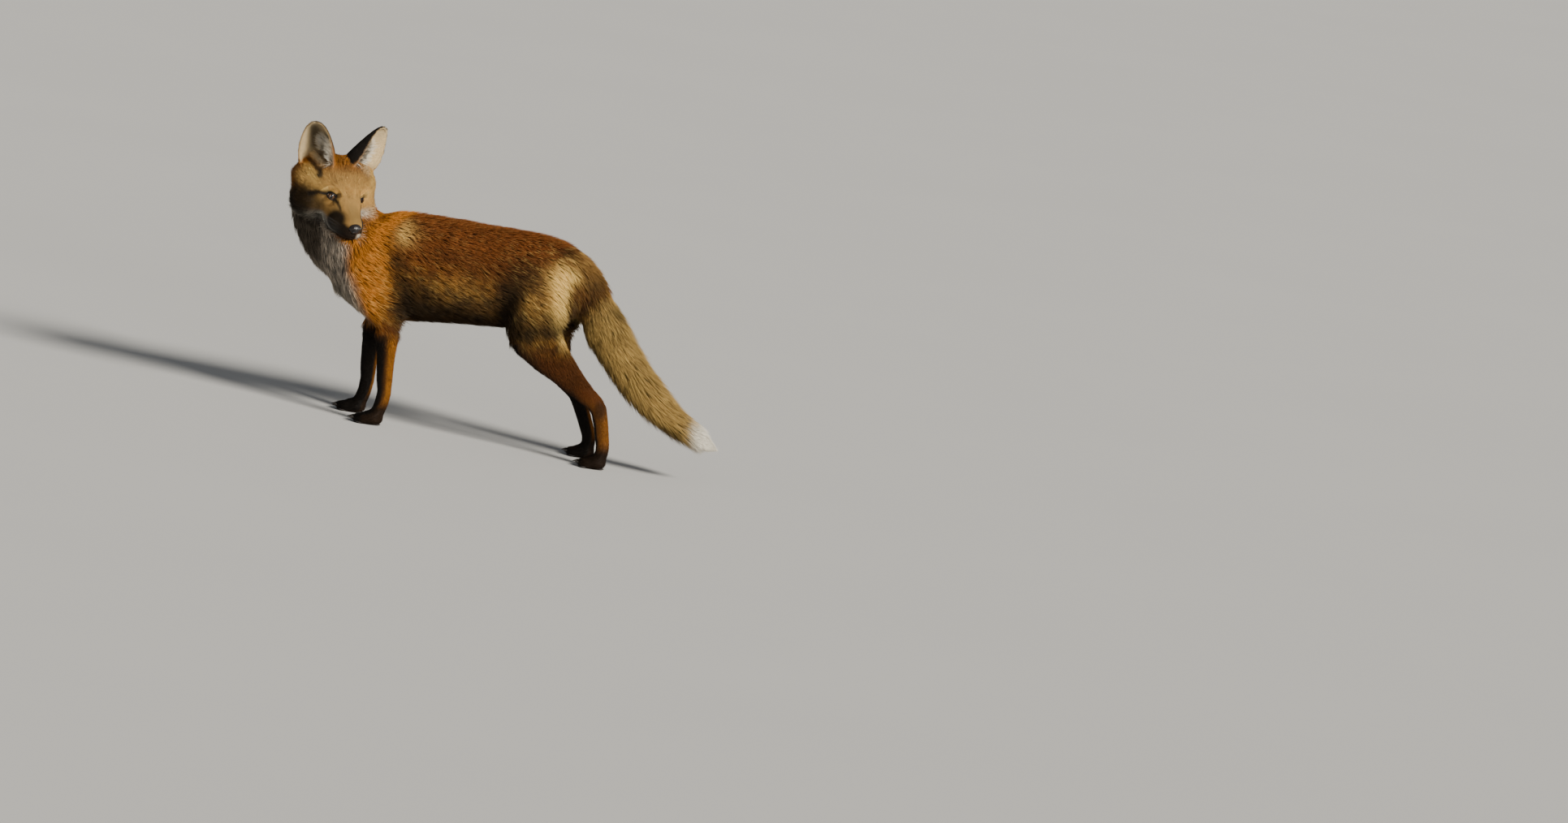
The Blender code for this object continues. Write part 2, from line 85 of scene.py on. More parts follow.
head_matrix = np.array(
    Matrix.Translation(HEAD_CENTRE)
    @ Matrix.Rotation(HEAD_TURN, 4, "Z")
    @ Matrix.Rotation(HEAD_BOW, 4, "Y")
    @ Matrix.Rotation(HEAD_TILT, 4, "X")
    @ Matrix.Scale(HEAD_SCALE, 4)
)
eye_in_fox = head_matrix[:3, :3] @ EYE_CENTRE + head_matrix[:3, 3]
datum = (np.array(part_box("eye_left")[0]) + np.array(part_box("eye_left")[1])) / 2 - eye_in_fox


def in_head(points):
    """Points of the head's own frame (forward, to its left, up), moved to the scene."""
    return np.asarray(points) @ head_matrix[:3, :3].T + head_matrix[:3, 3] + datum


def to_head(points):
    return (points - datum - head_matrix[:3, 3]) @ np.linalg.inv(head_matrix[:3, :3]).T


def rise(values, start, end):
    """0 up to start, 1 from end, and a smooth step between. It falls where end is less than start."""
    t = np.clip((values - start) / (end - start), 0, 1)
    return t * t * (3 - 2 * t)


def bell(values, width):
    """1 where the value is 0, and 0.37 at the width either side of it."""
    return np.exp(-((values / width) ** 2))


def unit(vectors):
    return vectors / np.maximum(np.linalg.norm(vectors, axis=-1, keepdims=True), 1e-9)


def put(name, data):
    obj = bpy.data.objects.new(name, data)
    bpy.context.scene.collection.objects.link(obj)
    return obj


def add_mesh(name, points, faces):
    mesh = bpy.data.meshes.new(name)
    mesh.from_pydata([tuple(p) for p in points], [], [tuple(int(i) for i in f) for f in faces])
    mesh.polygons.foreach_set("use_smooth", np.ones(len(faces), bool))
    return put(name, mesh)


def settle(obj):
    """Applies an object's modifiers."""
    graph = bpy.context.evaluated_depsgraph_get()
    mesh = bpy.data.meshes.new_from_object(obj.evaluated_get(graph))
    obj.modifiers.clear()
    obj.data = mesh
    return obj


def vertex_array(mesh, key="co"):
    values = np.empty(len(mesh.vertices) * 3)
    mesh.vertices.foreach_get(key, values)
    return values.reshape(-1, 3)


def ball(radii, centre=(0, 0, 0), across=24, along=16):
    """Points and faces of an ellipsoid with its poles along X."""
    work = bmesh.new()
    bmesh.ops.create_uvsphere(work, u_segments=across, v_segments=along, radius=1)
    points = np.array([(v.co.z, v.co.x, v.co.y) for v in work.verts]) * np.array(radii)
    faces = [tuple(v.index for v in f.verts) for f in work.faces]
    work.free()
    return points + np.array(centre), faces


def swollen(node):
    """A CAD node's points and faces, merged and grown by SWELL."""
    work = bmesh.new()
    work.from_mesh(frame["nodes"][node].data)
    bmesh.ops.remove_doubles(work, verts=work.verts, dist=0.00001)
    work.normal_update()
    points = np.array([v.co + v.normal * SWELL for v in work.verts])
    faces = [tuple(v.index for v in f.verts) for f in work.faces]
    work.free()
    return points, faces


flesh_nodes = [node for node in frame["nodes"] if not node.startswith(("eye", "nose"))]
shapes = [swollen(node) for node in flesh_nodes]
piece_points = np.vstack([points for points, faces in shapes])
piece_faces, piece_of_face, count = [], [], 0
for index, (points, faces) in enumerate(shapes):
    piece_faces += [tuple(i + count for i in face) for face in faces]
    piece_of_face += [index] * len(faces)
    count += len(points)
fused_points, fused_faces = [piece_points], list(piece_faces)
EYE_PLUG, NOSE_PLUG, NOSE_PLUG_BACK = EYE_RADIUS + 0.0012, (0.0080, 0.0095, 0.0075), 0.0015
plugs = [ball((EYE_PLUG,) * 3, EYE_CENTRE * (1, side, 1)) for side in (LEFT, RIGHT)]
plugs.append(ball(NOSE_PLUG, NOSE_CENTRE - (NOSE_PLUG_BACK, 0, 0)))
for points, faces in plugs:  # fill the seats of the eyes and the nose
    fused_faces += [tuple(i + count for i in face) for face in faces]
    fused_points.append(in_head(points))
    count += len(points)
hide = add_mesh("hide", np.vstack(fused_points), fused_faces)
fuse = hide.modifiers.new("fuse", "REMESH")
fuse.mode = "VOXEL"
fuse.voxel_size = HIDE_GRAIN
thin = hide.modifiers.new("thin", "DECIMATE")
thin.ratio = HIDE_KEPT
settle(hide)

# The grain is finer over the face, and finer still round the eyes, mouth and nose.
MOUTH = np.array([  # forward, and the height of the line between the lips
    (0.0390, -0.0355), (0.0470, -0.0385), (0.0570, -0.0405), (0.0680, -0.0412), (0.0780, -0.0400),
    (0.0860, -0.0375), (0.0905, -0.0335)])


def along_table(values, table, column=1):
    """Reads a table at these values of its first column, straight between its rows."""
    return np.interp(values, table[:, 0], table[:, column])


def mouth_gap(points_in_head):
    """Height above the line between the lips, and 1 where there is such a line."""
    forward, up = points_in_head[:, 0], points_in_head[:, 2]
    return up - along_table(forward, MOUTH), rise(forward, 0.036, 0.042)


def refine(obj, wanted):
    """Splits the edges whose two ends are wanted."""
    chosen = wanted(to_head(vertex_array(obj.data)))
    work = bmesh.new()
    work.from_mesh(obj.data)
    edges = [e for e in work.edges if chosen[e.verts[0].index] and chosen[e.verts[1].index]]
    bmesh.ops.subdivide_edges(work, edges=edges, cuts=1, use_grid_fill=True)
    bmesh.ops.triangulate(work, faces=[f for f in work.faces if len(f.verts) > 4])
    work.to_mesh(obj.data)
    work.free()


def on_face(p):
    ahead = (p[:, 0] > 0.012) & (p[:, 0] < 0.12)
    return ahead & (np.abs(p[:, 1]) < 0.042) & (p[:, 2] > -0.062) & (p[:, 2] < 0.03)


def round_features(p):
    near = np.zeros(len(p), bool)
    for side in (LEFT, RIGHT):
        near |= np.linalg.norm(p - EYE_CENTRE * (1, side, 1), axis=1) < 0.0165
    height, lips = mouth_gap(p)
    near |= (np.abs(height) < 0.0035) & (lips > 0.5) & (np.abs(p[:, 1]) < 0.03)
    return near | (np.linalg.norm(p - NOSE_CENTRE, axis=1) < 0.0135)


refine(hide, on_face)
refine(hide, round_features)


def spread(values, edges, passes, weight=1.0):
    """Evens out a value per vertex along the edges of the mesh."""
    count = np.bincount(edges.ravel(), minlength=len(values))[:, None]
    weight = np.broadcast_to(np.asarray(weight, float).reshape(-1, 1), (len(values), 1))
    for _ in range(passes):
        total = np.empty_like(values)
        for column in range(values.shape[1]):
            one, other = values[edges[:, 0], column], values[edges[:, 1], column]
            total[:, column] = np.bincount(edges[:, 0], other, len(values))
            total[:, column] += np.bincount(edges[:, 1], one, len(values))
        values = values + weight * (total / count - values)
    return values


edges = np.empty(len(hide.data.edges) * 2, int)
hide.data.edges.foreach_get("vertices", edges)
edges = edges.reshape(-1, 2)
hide_points = vertex_array(hide.data)

# Each point of the hide belongs to the nearest piece of the flesh.
nearest_piece = BVHTree.FromPolygons([tuple(p) for p in piece_points], piece_faces)
piece = np.array([piece_of_face[nearest_piece.find_nearest(Vector(p))[2]] for p in hide_points])
names = np.array(flesh_nodes)[piece]


def moved_to(obj, points):
    """Moves a mesh's vertices, and returns their new normals."""
    obj.data.vertices.foreach_set("co", points.ravel())
    obj.data.update()
    return vertex_array(obj.data, "normal")


def coordinates(points):
    """Places along X, Y and Z from the fox's datum, then forward, out and up in the head's frame."""
    face = to_head(points)
    return *(points - datum).T, face[:, 0], np.abs(face[:, 1]), face[:, 2]


def part_is(*words):
    """1 at the points of the pieces whose names hold one of the words."""
    return np.any([np.char.find(names, word) >= 0 for word in words], axis=0).astype(float)


is_ear, is_tail, is_paw, is_neck = part_is("ear"), part_is("tail"), part_is("paw"), part_is("neck")
is_leg, is_head, is_trunk = part_is("leg", "paw"), part_is("head"), part_is("trunk")
soft_ear = spread(is_ear[:, None], edges, 4)[:, 0]
hide_points = spread(hide_points, edges, 8, 0.6 * (1 - soft_ear) * (1 - 0.85 * is_paw))
hide_points = spread(hide_points, edges, 14, 0.6 * np.maximum(is_trunk, is_neck))
normals = moved_to(hide, hide_points)

x, y, z, forward, out, up = coordinates(hide_points)

# Length of the hair, and how deep the hide lies below its tips.
TAIL_END = 0.372
leg_length = 0.006 + 0.018 * rise(z, 0.10, 0.23)
leg_depth = 0.0012 + 0.0058 * rise(z, 0.10, 0.23)
head_length = 0.0030 + 0.0032 * rise(forward, 0.055, 0.020) + 0.0060 * rise(forward, 0.020, -0.030)
jaw = rise(up, -0.020, -0.040) * rise(forward, 0.060, 0.010)
ruff = rise(forward, 0.025, -0.020) * rise(up, 0.005, -0.020)
head_length = head_length + 0.010 * np.maximum(jaw, ruff)
head_depth = 0.0007 + 0.0010 * rise(forward, 0.055, 0.015) + 0.0020 * rise(forward, 0.012, -0.03)
head_depth = head_depth + 0.0035 * np.maximum(0.5 * jaw, ruff)
tail_length = 0.026 + 0.010 * rise(y, 0.13, 0.20) - 0.021 * rise(y, 0.31, 0.36)
tail_depth = 0.009 + 0.005 * rise(y, 0.12, 0.18) - 0.010 * rise(y, 0.30, TAIL_END)
regions = [part > 0 for part in (is_ear, is_tail, is_leg, is_head, is_neck)]  # the rest is trunk
length = np.select(regions, [0.0050, tail_length, leg_length, head_length, 0.024], 0.023)
depth = np.select(regions, [0.0006, tail_depth, leg_depth, head_depth, 0.0075], 0.0070)
length, depth = spread(np.stack([length, depth], 1), edges, 12, 1 - soft_ear).T
depth = np.minimum(depth, length)

sunk = hide_points - normals * (depth + SWELL)[:, None]
sunk = spread(sunk, edges, 4, 0.5 * (1 - soft_ear) * (1 - 0.8 * is_paw))


def lidded(points_in_head, side):
    """Shapes the lids over one eyeball and clears the opening between them. Returns the points,
    their distance outside the opening, which is negative within it, and the dark line along it."""
    LID, HALF_WIDTH, ABOVE, BELOW = 0.0011, 0.0088, 0.0041, 0.0034
    SLANT = math.radians(13)
    look = unit(np.array((math.cos(EYE_TURN), side * math.sin(EYE_TURN), EYE_RISE)))
    back = unit(np.cross(look, (0, 0, 1)) * -side)
    crown = np.cross(look, back) * side
    crown *= np.sign(crown[2])
    away = points_in_head - EYE_CENTRE * (1, side, 1)
    reach = np.linalg.norm(away, axis=1)
    across = np.arctan2(away @ back, away @ look) * EYE_RADIUS
    above = np.arcsin(np.clip(away @ crown / reach, -1, 1)) * EYE_RADIUS
    across, above = (
        across * math.cos(SLANT) + above * math.sin(SLANT),
        above * math.cos(SLANT) - across * math.sin(SLANT),
    )
    part = np.linspace(-1, 1, 41)
    upper = np.stack([part * HALF_WIDTH, ABOVE * (1 - part**2) ** 0.75 - 0.0004 * part], 1)
    lower = np.stack([part * HALF_WIDTH, -BELOW * (1 - part**2) ** 0.85 - 0.0004 * part], 1)
    rim = np.vstack([upper, lower[::-1]])
    here = np.stack([across, above], 1)
    gap = np.full(len(here), 1.0)
    close = (reach < 0.019) & (away @ look > 0)
    gap[close] = np.linalg.norm(here[close][:, None] - rim[None], axis=2).min(1)
    inside = close & (np.abs(across) < HALF_WIDTH)
    inside &= (above < along_table(across, upper)) & (above > along_table(across, lower))
    gap[inside] *= -1
    lid = EYE_RADIUS + LID + 0.0005 * rise(above, 0, 0.004)
    crease = 0.0006 * bell(gap - 0.0030, 0.0008) * rise(above, 0, 0.002)
    blend = rise(gap, 0.0085, 0.0020)
    wanted = reach + (lid - reach) * blend - crease
    wanted = np.where(gap < 0, np.minimum(wanted, EYE_RADIUS * 0.84), wanted)
    moved = points_in_head + away / reach[:, None] * (wanted - reach)[:, None]
    line = 0.0019 + 0.0023 * rise(above, -0.0004, 0.0012) + 0.0020 * rise(across, -0.0040, -0.0080)
    return np.where(close[:, None], moved, points_in_head), gap, rise(gap / line, 1.0, 0.55)


# Clefts between the four toes of each foot.
FEET = {  # side, place of the foot's middle along the fox, size
    "front_left": (LEFT, -0.195, 1.03),
    "front_right": (RIGHT, -0.258, 1.03),
    "hind_left": (LEFT, 0.193, 0.97),
    "hind_right": (RIGHT, 0.143, 0.97),
}
FOOT_OUT, TOE_PITCH = 0.047, 0.0083
toe_cleft = np.zeros(len(sunk))
for foot, (side, foot_y, size) in FEET.items():
    across_toes = (x - side * FOOT_OUT) / (TOE_PITCH * size)
    to_cleft = np.abs(across_toes - np.clip(np.round(across_toes), -1, 1))
    ahead = rise(y, foot_y - 0.008, foot_y - 0.020) * rise(z, 0.026, 0.018)
    cleft = bell(to_cleft, 0.17) * ahead
    toe_cleft = np.maximum(toe_cleft, cleft * (names == foot + "_paw"))
sunk = sunk - normals * (0.0022 * toe_cleft)[:, None]

face = to_head(sunk)
eye_gap, eye_line = np.full(len(face), 1.0), np.zeros(len(face))
for side in (LEFT, RIGHT):
    face, gap, line = lidded(face, side)
    eye_gap, eye_line = np.minimum(eye_gap, gap), np.maximum(eye_line, line)
height, lips = mouth_gap(face)
lips = lips * is_head
middle = bell(face[:, 1], 0.0008) * rise(face[:, 0], 0.084, 0.088)
groove = 0.0016 * bell(height, 0.0009) * lips
groove += 0.0008 * middle * (height > 0) * lips
groove += 0.0006 * rise(height, 0, -0.002) * rise(height, -0.012, -0.004) * lips
sunk = in_head(face)
sunk[:, 2] = np.maximum(sunk[:, 2], HIDE_OFF_FLOOR)
normals = moved_to(hide, sunk)
sunk = sunk - normals * groove[:, None]
normals = moved_to(hide, sunk)
hide.data.polygons.foreach_set("use_smooth", np.ones(len(hide.data.polygons), bool))

# ---------------------------------------------------------------- lie of the coat
# Which way the hair lies on each part, as a breeder would stroke it: back from the nose over the
# head, down the neck, back along the trunk and tail, and down the legs. The ears are open cups with
# a fringe of long hairs inside the inner edge, and their hair runs up to the tip.
EARS = {LEFT: (18, 33), RIGHT: (37, 33)}  # swing of the opening outwards, and splay, in degrees
EAR_ROOT, EAR_LEAN = np.array((-0.034, 0.022, 0.018)), -7.5
EAR_CUP = np.array([  # height up the ear, and half its width there
    (0, 0.0240), (0.030, 0.0280), (0.058, 0.0258), (0.078, 0.0193), (0.088, 0.0065)])


def ear_frame(side):
    """The ear's own axes in the head's frame: through its opening, to its left, and up to its tip."""
    swing, splay = EARS[side]
    turn = (
        Matrix.Rotation(-side * math.radians(splay), 3, "X")
        @ Matrix.Rotation(-math.radians(EAR_LEAN), 3, "Y")
        @ Matrix.Rotation(side * math.radians(swing), 3, "Z")
    )
    return np.array(turn)


def in_ears(points_in_head):
    """Points in the frame of the ear on their own side, with the outer edge to +Y."""
    local = np.empty_like(points_in_head)
    for side in (LEFT, RIGHT):
        mine = points_in_head[:, 1] * side >= 0
        local[mine] = (points_in_head[mine] - EAR_ROOT * (1, side, 1)) @ ear_frame(side)
        local[mine, 1] *= side
    return local


def head_ways(ways):
    """Directions of the head's own frame, turned to the scene."""
    return ways @ head_matrix[:3, :3].T / HEAD_SCALE


def columns(*values):
    return np.stack(np.broadcast_arrays(*values), 1).astype(float)


def stroke(line, reach):
    """1 along a line through points (forward, out, up) on both sides of the head, 0 from reach on."""
    here = np.stack([forward, out, up], 1)
    near = np.full(len(here), 1.0)
    for start, end in zip(np.array(line)[:-1], np.array(line)[1:]):
        step = end - start
        share = np.clip((here - start) @ step / (step @ step), 0, 1)
        near = np.minimum(near, np.linalg.norm(here - start - share[:, None] * step, axis=1))
    return rise(near, reach, 0.35 * reach)


face = to_head(hide_points)
x, y, z, forward, out, up = coordinates(hide_points)
side_of_head = np.sign(face[:, 1])
head_left, head_right = side_of_head > 0, side_of_head < 0
skyward = rise(normals[:, 2], -0.2, 0.8)
is_fore, is_hind = part_is("front"), part_is("hind")

ear = in_ears(face)
cup = along_table(ear[:, 2], EAR_CUP)
to_axis = columns(0.53 * cup - 1.3 * ear[:, 2] ** 2 - ear[:, 0], -ear[:, 1], 0)
ear_ways, normal_in_ear = np.zeros_like(face), np.zeros_like(face)
for side in (LEFT, RIGHT):
    mine = side_of_head == side
    local = (normals @ head_matrix[:3, :3] / HEAD_SCALE) @ ear_frame(side) * (1, side, 1)
    normal_in_ear[mine] = local[mine]
in_cup = rise((normal_in_ear * to_axis).sum(1) / cup, -0.1, 0.25) * is_ear
ear_back = is_ear * (1 - in_cup)
turned = -normal_in_ear[:, 0] + 4.0 * (ear[:, 2] - 0.030)
turned += np.where(head_left, 0.60, 0.40 * rise(ear[:, 1], 0.0, 0.012))
turned_back = rise(turned, 0.10, 0.50)
ear_black = ear_back * turned_back * rise(ear[:, 2], 0.004, 0.018)
fringe = in_cup * rise(ear[:, 1], 0.003, -0.010) * rise(ear[:, 2], 0.066, 0.048)  # long inner hairs
ear_floor = stroke([(-0.038, 0.032, 0.034), (-0.012, 0.035, 0.037)], 0.012) * is_head * head_right
left_floor = stroke([(-0.030, 0.047, 0.034), (-0.003, 0.040, 0.034)], 0.013) * is_head * head_left
ear_floor = ear_floor + 0.6 * left_floor
# A dark band down the hollow of each cup: partly brownish skin under sparse hair, partly painted shade,
# strong in the right ear only.
ear_hollow_skin_and_shade = in_cup * rise(np.abs(ear[:, 1] - 0.003) / cup, 0.62, 0.22)
ear_hollow_skin_and_shade = ear_hollow_skin_and_shade * rise(ear[:, 2], 0.018, 0.034) * rise(ear[:, 2], 0.088, 0.072)
ear_hollow_skin_and_shade = ear_hollow_skin_and_shade * np.where(head_right, 1.0, 0.15)
over_ear = columns(
    0.15 - 0.1 * in_cup + 0.45 * fringe, 0.65 * in_cup - 0.1 + 0.8 * fringe, 1 - 0.55 * fringe)
for side in (LEFT, RIGHT):
    mine = side_of_head == side
    ear_ways[mine] = (over_ear * (1, side, 1))[mine] @ ear_frame(side).T

MUZZLE_TIP = np.array((0.100, 0, -0.022))
TAIL_SLOPE = np.array([  # place along the fox, and how steeply the tail falls there
    (0.08, 0.51), (0.12, 0.77), (0.16, 0.81), (0.20, 0.78), (0.25, 0.64), (0.33, 0.41), (0.38, 0.27)])
over_head = unit((face - MUZZLE_TIP) * (1, 1.15, 1) + columns(0, 0, -0.020 * ruff))
over_head = over_head + ear_floor[:, None] * columns(0.2, 0.9 * side_of_head, 1.0)
fall = along_table(y, TAIL_SLOPE)
down_tail = columns(0, np.sqrt(1 - fall**2), -fall)
chest = rise(-normals[:, 1], 0.2, 0.8) * rise(z, 0.33, 0.28)
haunch = rise(y, 0.05, 0.12)
over_trunk = columns(0, 1 - 0.8 * chest - 0.4 * haunch, -0.25 - 0.75 * chest - 0.8 * haunch)
down_neck = columns(0, 0.25 + 0.75 * skyward, -1 + 0.75 * skyward)
down_fore = columns(0, 0.05 + 0.40 * rise(z, 0.16, 0.22), -1)
down_hind = columns(0, 0.10 + 0.70 * rise(z, 0.09, 0.12) - 0.35 * rise(z, 0.20, 0.25), -1)
over_toes = np.array((0, -1, -0.25))
on_toes = (is_paw * rise(z, 0.045, 0.025))[:, None]
leg_ways = np.where(is_fore[:, None] > 0, down_fore, down_hind) * (1 - on_toes) + over_toes * on_toes
ways = np.select(
    [region[:, None] for region in regions],
    [head_ways(unit(ear_ways)), down_tail, unit(leg_ways), head_ways(unit(over_head)), unit(down_neck)],
    unit(over_trunk))
ways = spread(ways, edges, 40, 1 - 0.8 * np.maximum(soft_ear, is_paw * rise(z, 0.05, 0.03)))
ways = unit(ways - normals * (ways * normals).sum(1)[:, None])


# ---------------------------------------------------------------- markings
# The markings are those of a young fox: rust back, golden flanks, black stockings and ears, white
# throat, cheeks and tail tip, a pale rear of the thigh, and a dark stroke down from each eye. Shade
# is painted in among them: under the belly and tail, at the elbow, by the thigh, on the throat,
# over the right cheek and eye, and in the ears.
def mottle(points, size, seed):
    """A smooth random value from -1 to 1 at each point, which changes over about `size`."""
    cell = points / size + 1000.0
    low = np.floor(cell).astype(np.int64)
    part = cell - low
    part = part * part * (3 - 2 * part)
    total = np.zeros(len(points))
    for corner in np.ndindex(2, 2, 2):
        grid = low + corner
        key = grid[:, 0] * 73856093 ^ grid[:, 1] * 19349663 ^ grid[:, 2] * 83492791
        key = key ^ seed * 2654435761
        key = (key ^ (key >> 13)) * 1274126177 & 0x7FFFFFFF
        value = (key ^ (key >> 16)) % 65536 / 32767.5 - 1
        total += value * np.prod(np.where(corner, part, 1 - part), axis=1)
    return total


# The markings are placed by where the visible half of each hair lies, not by its root.
shown = hide_points + ways * (0.5 * length)[:, None]
x, y, z, forward, out, up = coordinates(shown)


def patch(y0, z0, reach_y, reach_z, soft=0.5, slant=0):
    """1 within an ellipse seen from the fox's left, fading out across its edge. A slant in degrees
    tips its upper end forward."""
    turn = math.radians(slant)
    along = (y - y0) * math.cos(turn) + (z - z0) * math.sin(turn)
    over = (z - z0) * math.cos(turn) - (y - y0) * math.sin(turn)
    return rise(np.hypot(along / reach_y, over / reach_z), 1 + soft, 1 - soft)


def face_patch(forward0, up0, reach_forward, reach_up, soft=0.5):
    far = np.hypot((forward - forward0) / reach_forward, (up - up0) / reach_up)
    return rise(far, 1 + soft, 1 - soft) * is_head


def most(*values):
    return np.maximum.reduce(values)


# Pale rear of the thigh: (height, middle, half width). Edge of the pale chest: (height, place).
THIGH_STRIP = np.array([
    (0.155, 0.126, 0.006), (0.186, 0.113, 0.008), (0.216, 0.101, 0.010), (0.262, 0.091, 0.011),
    (0.285, 0.088, 0.016), (0.305, 0.090, 0.021), (0.330, 0.088, 0.015)])
CHEST_EDGE = np.array([
    (0.16, -0.232), (0.196, -0.247), (0.245, -0.276), (0.290, -0.281), (0.330, -0.296)])

skin_places = hide_points - datum
blotch, fleck_ground = mottle(skin_places, 0.034, 21), mottle(skin_places, 0.013, 23)
is_tail_soft = spread(is_tail[:, None], edges, 10)[:, 0]
body = 1 - np.maximum(is_head, is_ear)
inner = -normals[:, 0] * np.sign(x) * is_leg
frontward = -normals[:, 1]
strip_half = along_table(z, THIGH_STRIP, 2) * (1 + 0.35 * fleck_ground)
over_strip = (y - along_table(z, THIGH_STRIP)) / strip_half
strip = rise(over_strip, -1.7, -0.5) * rise(over_strip, 1.35, 0.8)
strip = strip * rise(z, 0.176, 0.206) * rise(z + 0.012 * fleck_ground, 0.332, 0.300)
# Painted shade between the pale strip of the thigh and the tail.
shade_behind_strip = rise(over_strip, 0.9, 1.5) * rise(over_strip, 3.5, 2.0)
chest_edge = along_table(z, CHEST_EDGE) + 0.004 * blotch
throat = rise(y - chest_edge, 0.008, -0.012) * rise(z, 0.15, 0.18) * rise(z, 0.365, 0.33)
fore_black = rise(z, 0.190, 0.135) * is_fore
fore_black = fore_black * most(rise(frontward, -0.50, 0.15), rise(inner, 0.1, 0.7))
hind_black = rise(frontward, -0.10, 0.55) * rise(z, 0.225, 0.165) * is_hind
hind_black = most(hind_black, rise(inner, 0.2, 0.8) * rise(z, 0.135, 0.095) * is_hind)
on_left = rise(x, 0.0, 0.010)

# The face: white cheeks, lips and throat, dark strokes from each eye, and painted shade over the right cheek.
cheek_top = np.where(head_left, -0.018, -0.027)
cheek = rise(up - cheek_top, 0.005, -0.005) * rise(out, 0.014, 0.024)
cheek = cheek * rise(forward, -0.042, -0.022) * is_head
# Painted shade: behind the mouth, the white of the right cheek is darkened to grey and near black.
painted_cheek_shade = cheek * head_right * rise(forward, 0.034, 0.022)
mouth_line = along_table(forward, MOUTH)
lip = rise(np.abs(up - mouth_line - 0.002), 0.0085, 0.0055)
lip = lip * rise(forward, 0.068, 0.078) * rise(to_head(shown)[:, 1], 0.002, 0.007) * is_head
muzzle_side = face_patch(0.060, -0.020, 0.0165, 0.0145, 0.35)
muzzle_side = most(muzzle_side, face_patch(0.077, -0.0275, 0.022, 0.0115, 0.3)) * rise(out, 0.005, 0.010)
muzzle_side = most(muzzle_side, face_patch(0.090, -0.0300, 0.011, 0.0075, 0.3))
chin = 0.92 * rise(up - mouth_line, 0.008, 0.003) * rise(forward, 0.034, 0.050) * is_head
tear = stroke([
    (0.0436, 0.0215, 0.0020), (0.0478, 0.0198, -0.001), (0.0524, 0.0178, -0.0039),
    (0.0590, 0.0168, -0.0100)], 0.0046)
# A dark line back from each eye; behind the right eye it runs on as painted shade below the brow.
behind_eye = stroke([
    (0.0305, 0.0380, 0.0068), (0.0253, 0.0440, 0.0058), (0.0191, 0.0505, 0.0011),
    (0.0160, 0.0591, -0.0034)], 0.0058)
behind_eye = behind_eye * np.where(head_right, 1, rise(forward, 0.0240, 0.0275))
# The right cheek below the stroke behind the eye: partly its own brown, partly painted shade, on the right
# side only.
brown_cheek_and_shade = most(
    stroke([(0.0205, 0.0503, -0.001), (0.0065, 0.068, -0.008)], 0.0080),
    face_patch(0.008, -0.022, 0.026, 0.026, 0.25) * rise(out, 0.028, 0.040)) * head_right * is_head
# Painted shade: the dark opening in front of and along the base of the right ear.
ear_opening_shade = most(
    stroke([(-0.003, 0.0455, 0.031), (0.0068, 0.0480, 0.0262)], 0.0068),
    0.8 * stroke([(-0.034, 0.0480, 0.030), (-0.008, 0.0485, 0.0305)], 0.0065)) * head_right * is_head

# How strong each colour of the coat is at each point. The fur lays them over each other in turn.
facing_front = rise(frontward, -0.35, 0.40)
hind_body = is_hind + is_trunk
temple = rise(out, 0.040, 0.052)
marks = {}
marks["rust"] = body * most(rise(z, 0.235, 0.300), rise(z, 0.19, 0.16)) * (1 - is_tail_soft)
marks["orange"] = most(
    is_head,
    is_neck,
    patch(-0.246, 0.245, 0.046, 0.110, 0.4) * body,  # shoulder
    is_fore * rise(z, 0.23, 0.19) * (1 - 0.5 * facing_front),
    0.9 * (ear_back - ear_black),
    0.62 * is_hind * rise(z, 0.115, 0.085))  # below the hock
marks["fawn"] = most(
    0.95 * face_patch(0.050, -0.004, 0.052, 0.026, 0.35),  # muzzle and brow
    0.80 * face_patch(0.022, 0.028, 0.026, 0.016),  # forehead
    0.85 * face_patch(0.004, 0.013, 0.024, 0.016) * temple)
marks["tan"] = most(
    is_tail_soft,
    0.42 * patch(0.122, 0.318, 0.040, 0.036) * is_trunk,  # rump
    0.36 * patch(0.052, 0.245, 0.038, 0.062) * body,  # thigh
    0.20 * patch(-0.075, 0.238, 0.060, 0.028) * is_trunk,  # flank
    0.55 * face_patch(0.070, -0.004, 0.022, 0.016) * rise(out, 0.013, 0.007))  # bridge of the muzzle
marks["cream"] = most(
    strip * (1 - is_tail_soft) * rise(np.abs(x) - 0.35 * (z - 0.30), 0.016, 0.034),
    0.55 * patch(-0.194, 0.321, 0.012, 0.019) * on_left,  # where the neck meets the back
    0.35 * face_patch(0.030, 0.012, 0.012, 0.007) * rise(out, 0.018, 0.026),  # over the eyes
    0.30 * face_patch(0.004, 0.013, 0.020, 0.012) * temple,
    0.8 * in_cup * (1 - 0.6 * fringe),
    0.85 * ear_floor,
    0.9 * stroke([(-0.018, 0.058, 0.026), (0.006, 0.0545, 0.0225)], 0.0085) * is_head)  # below the ear
marks["white"] = most(
    0.70 * throat * body,
    cheek,
    lip,
    in_cup * (0.45 + 0.55 * fringe),
    0.6 * ear_floor,
    0.8 * rise(up, -0.045, -0.056) * rise(forward, 0.045, 0.030) * is_head,  # under the jaw
    rise(y, 0.324, 0.340) * is_tail)  # tip of the tail
# Grey underfur of the throat under white tips, and painted shade over the right cheek.
marks["ash"] = most(throat * body * (0.80 + 0.20 * rise(fleck_ground, -0.2, 0.6)), 0.85 * painted_cheek_shade)
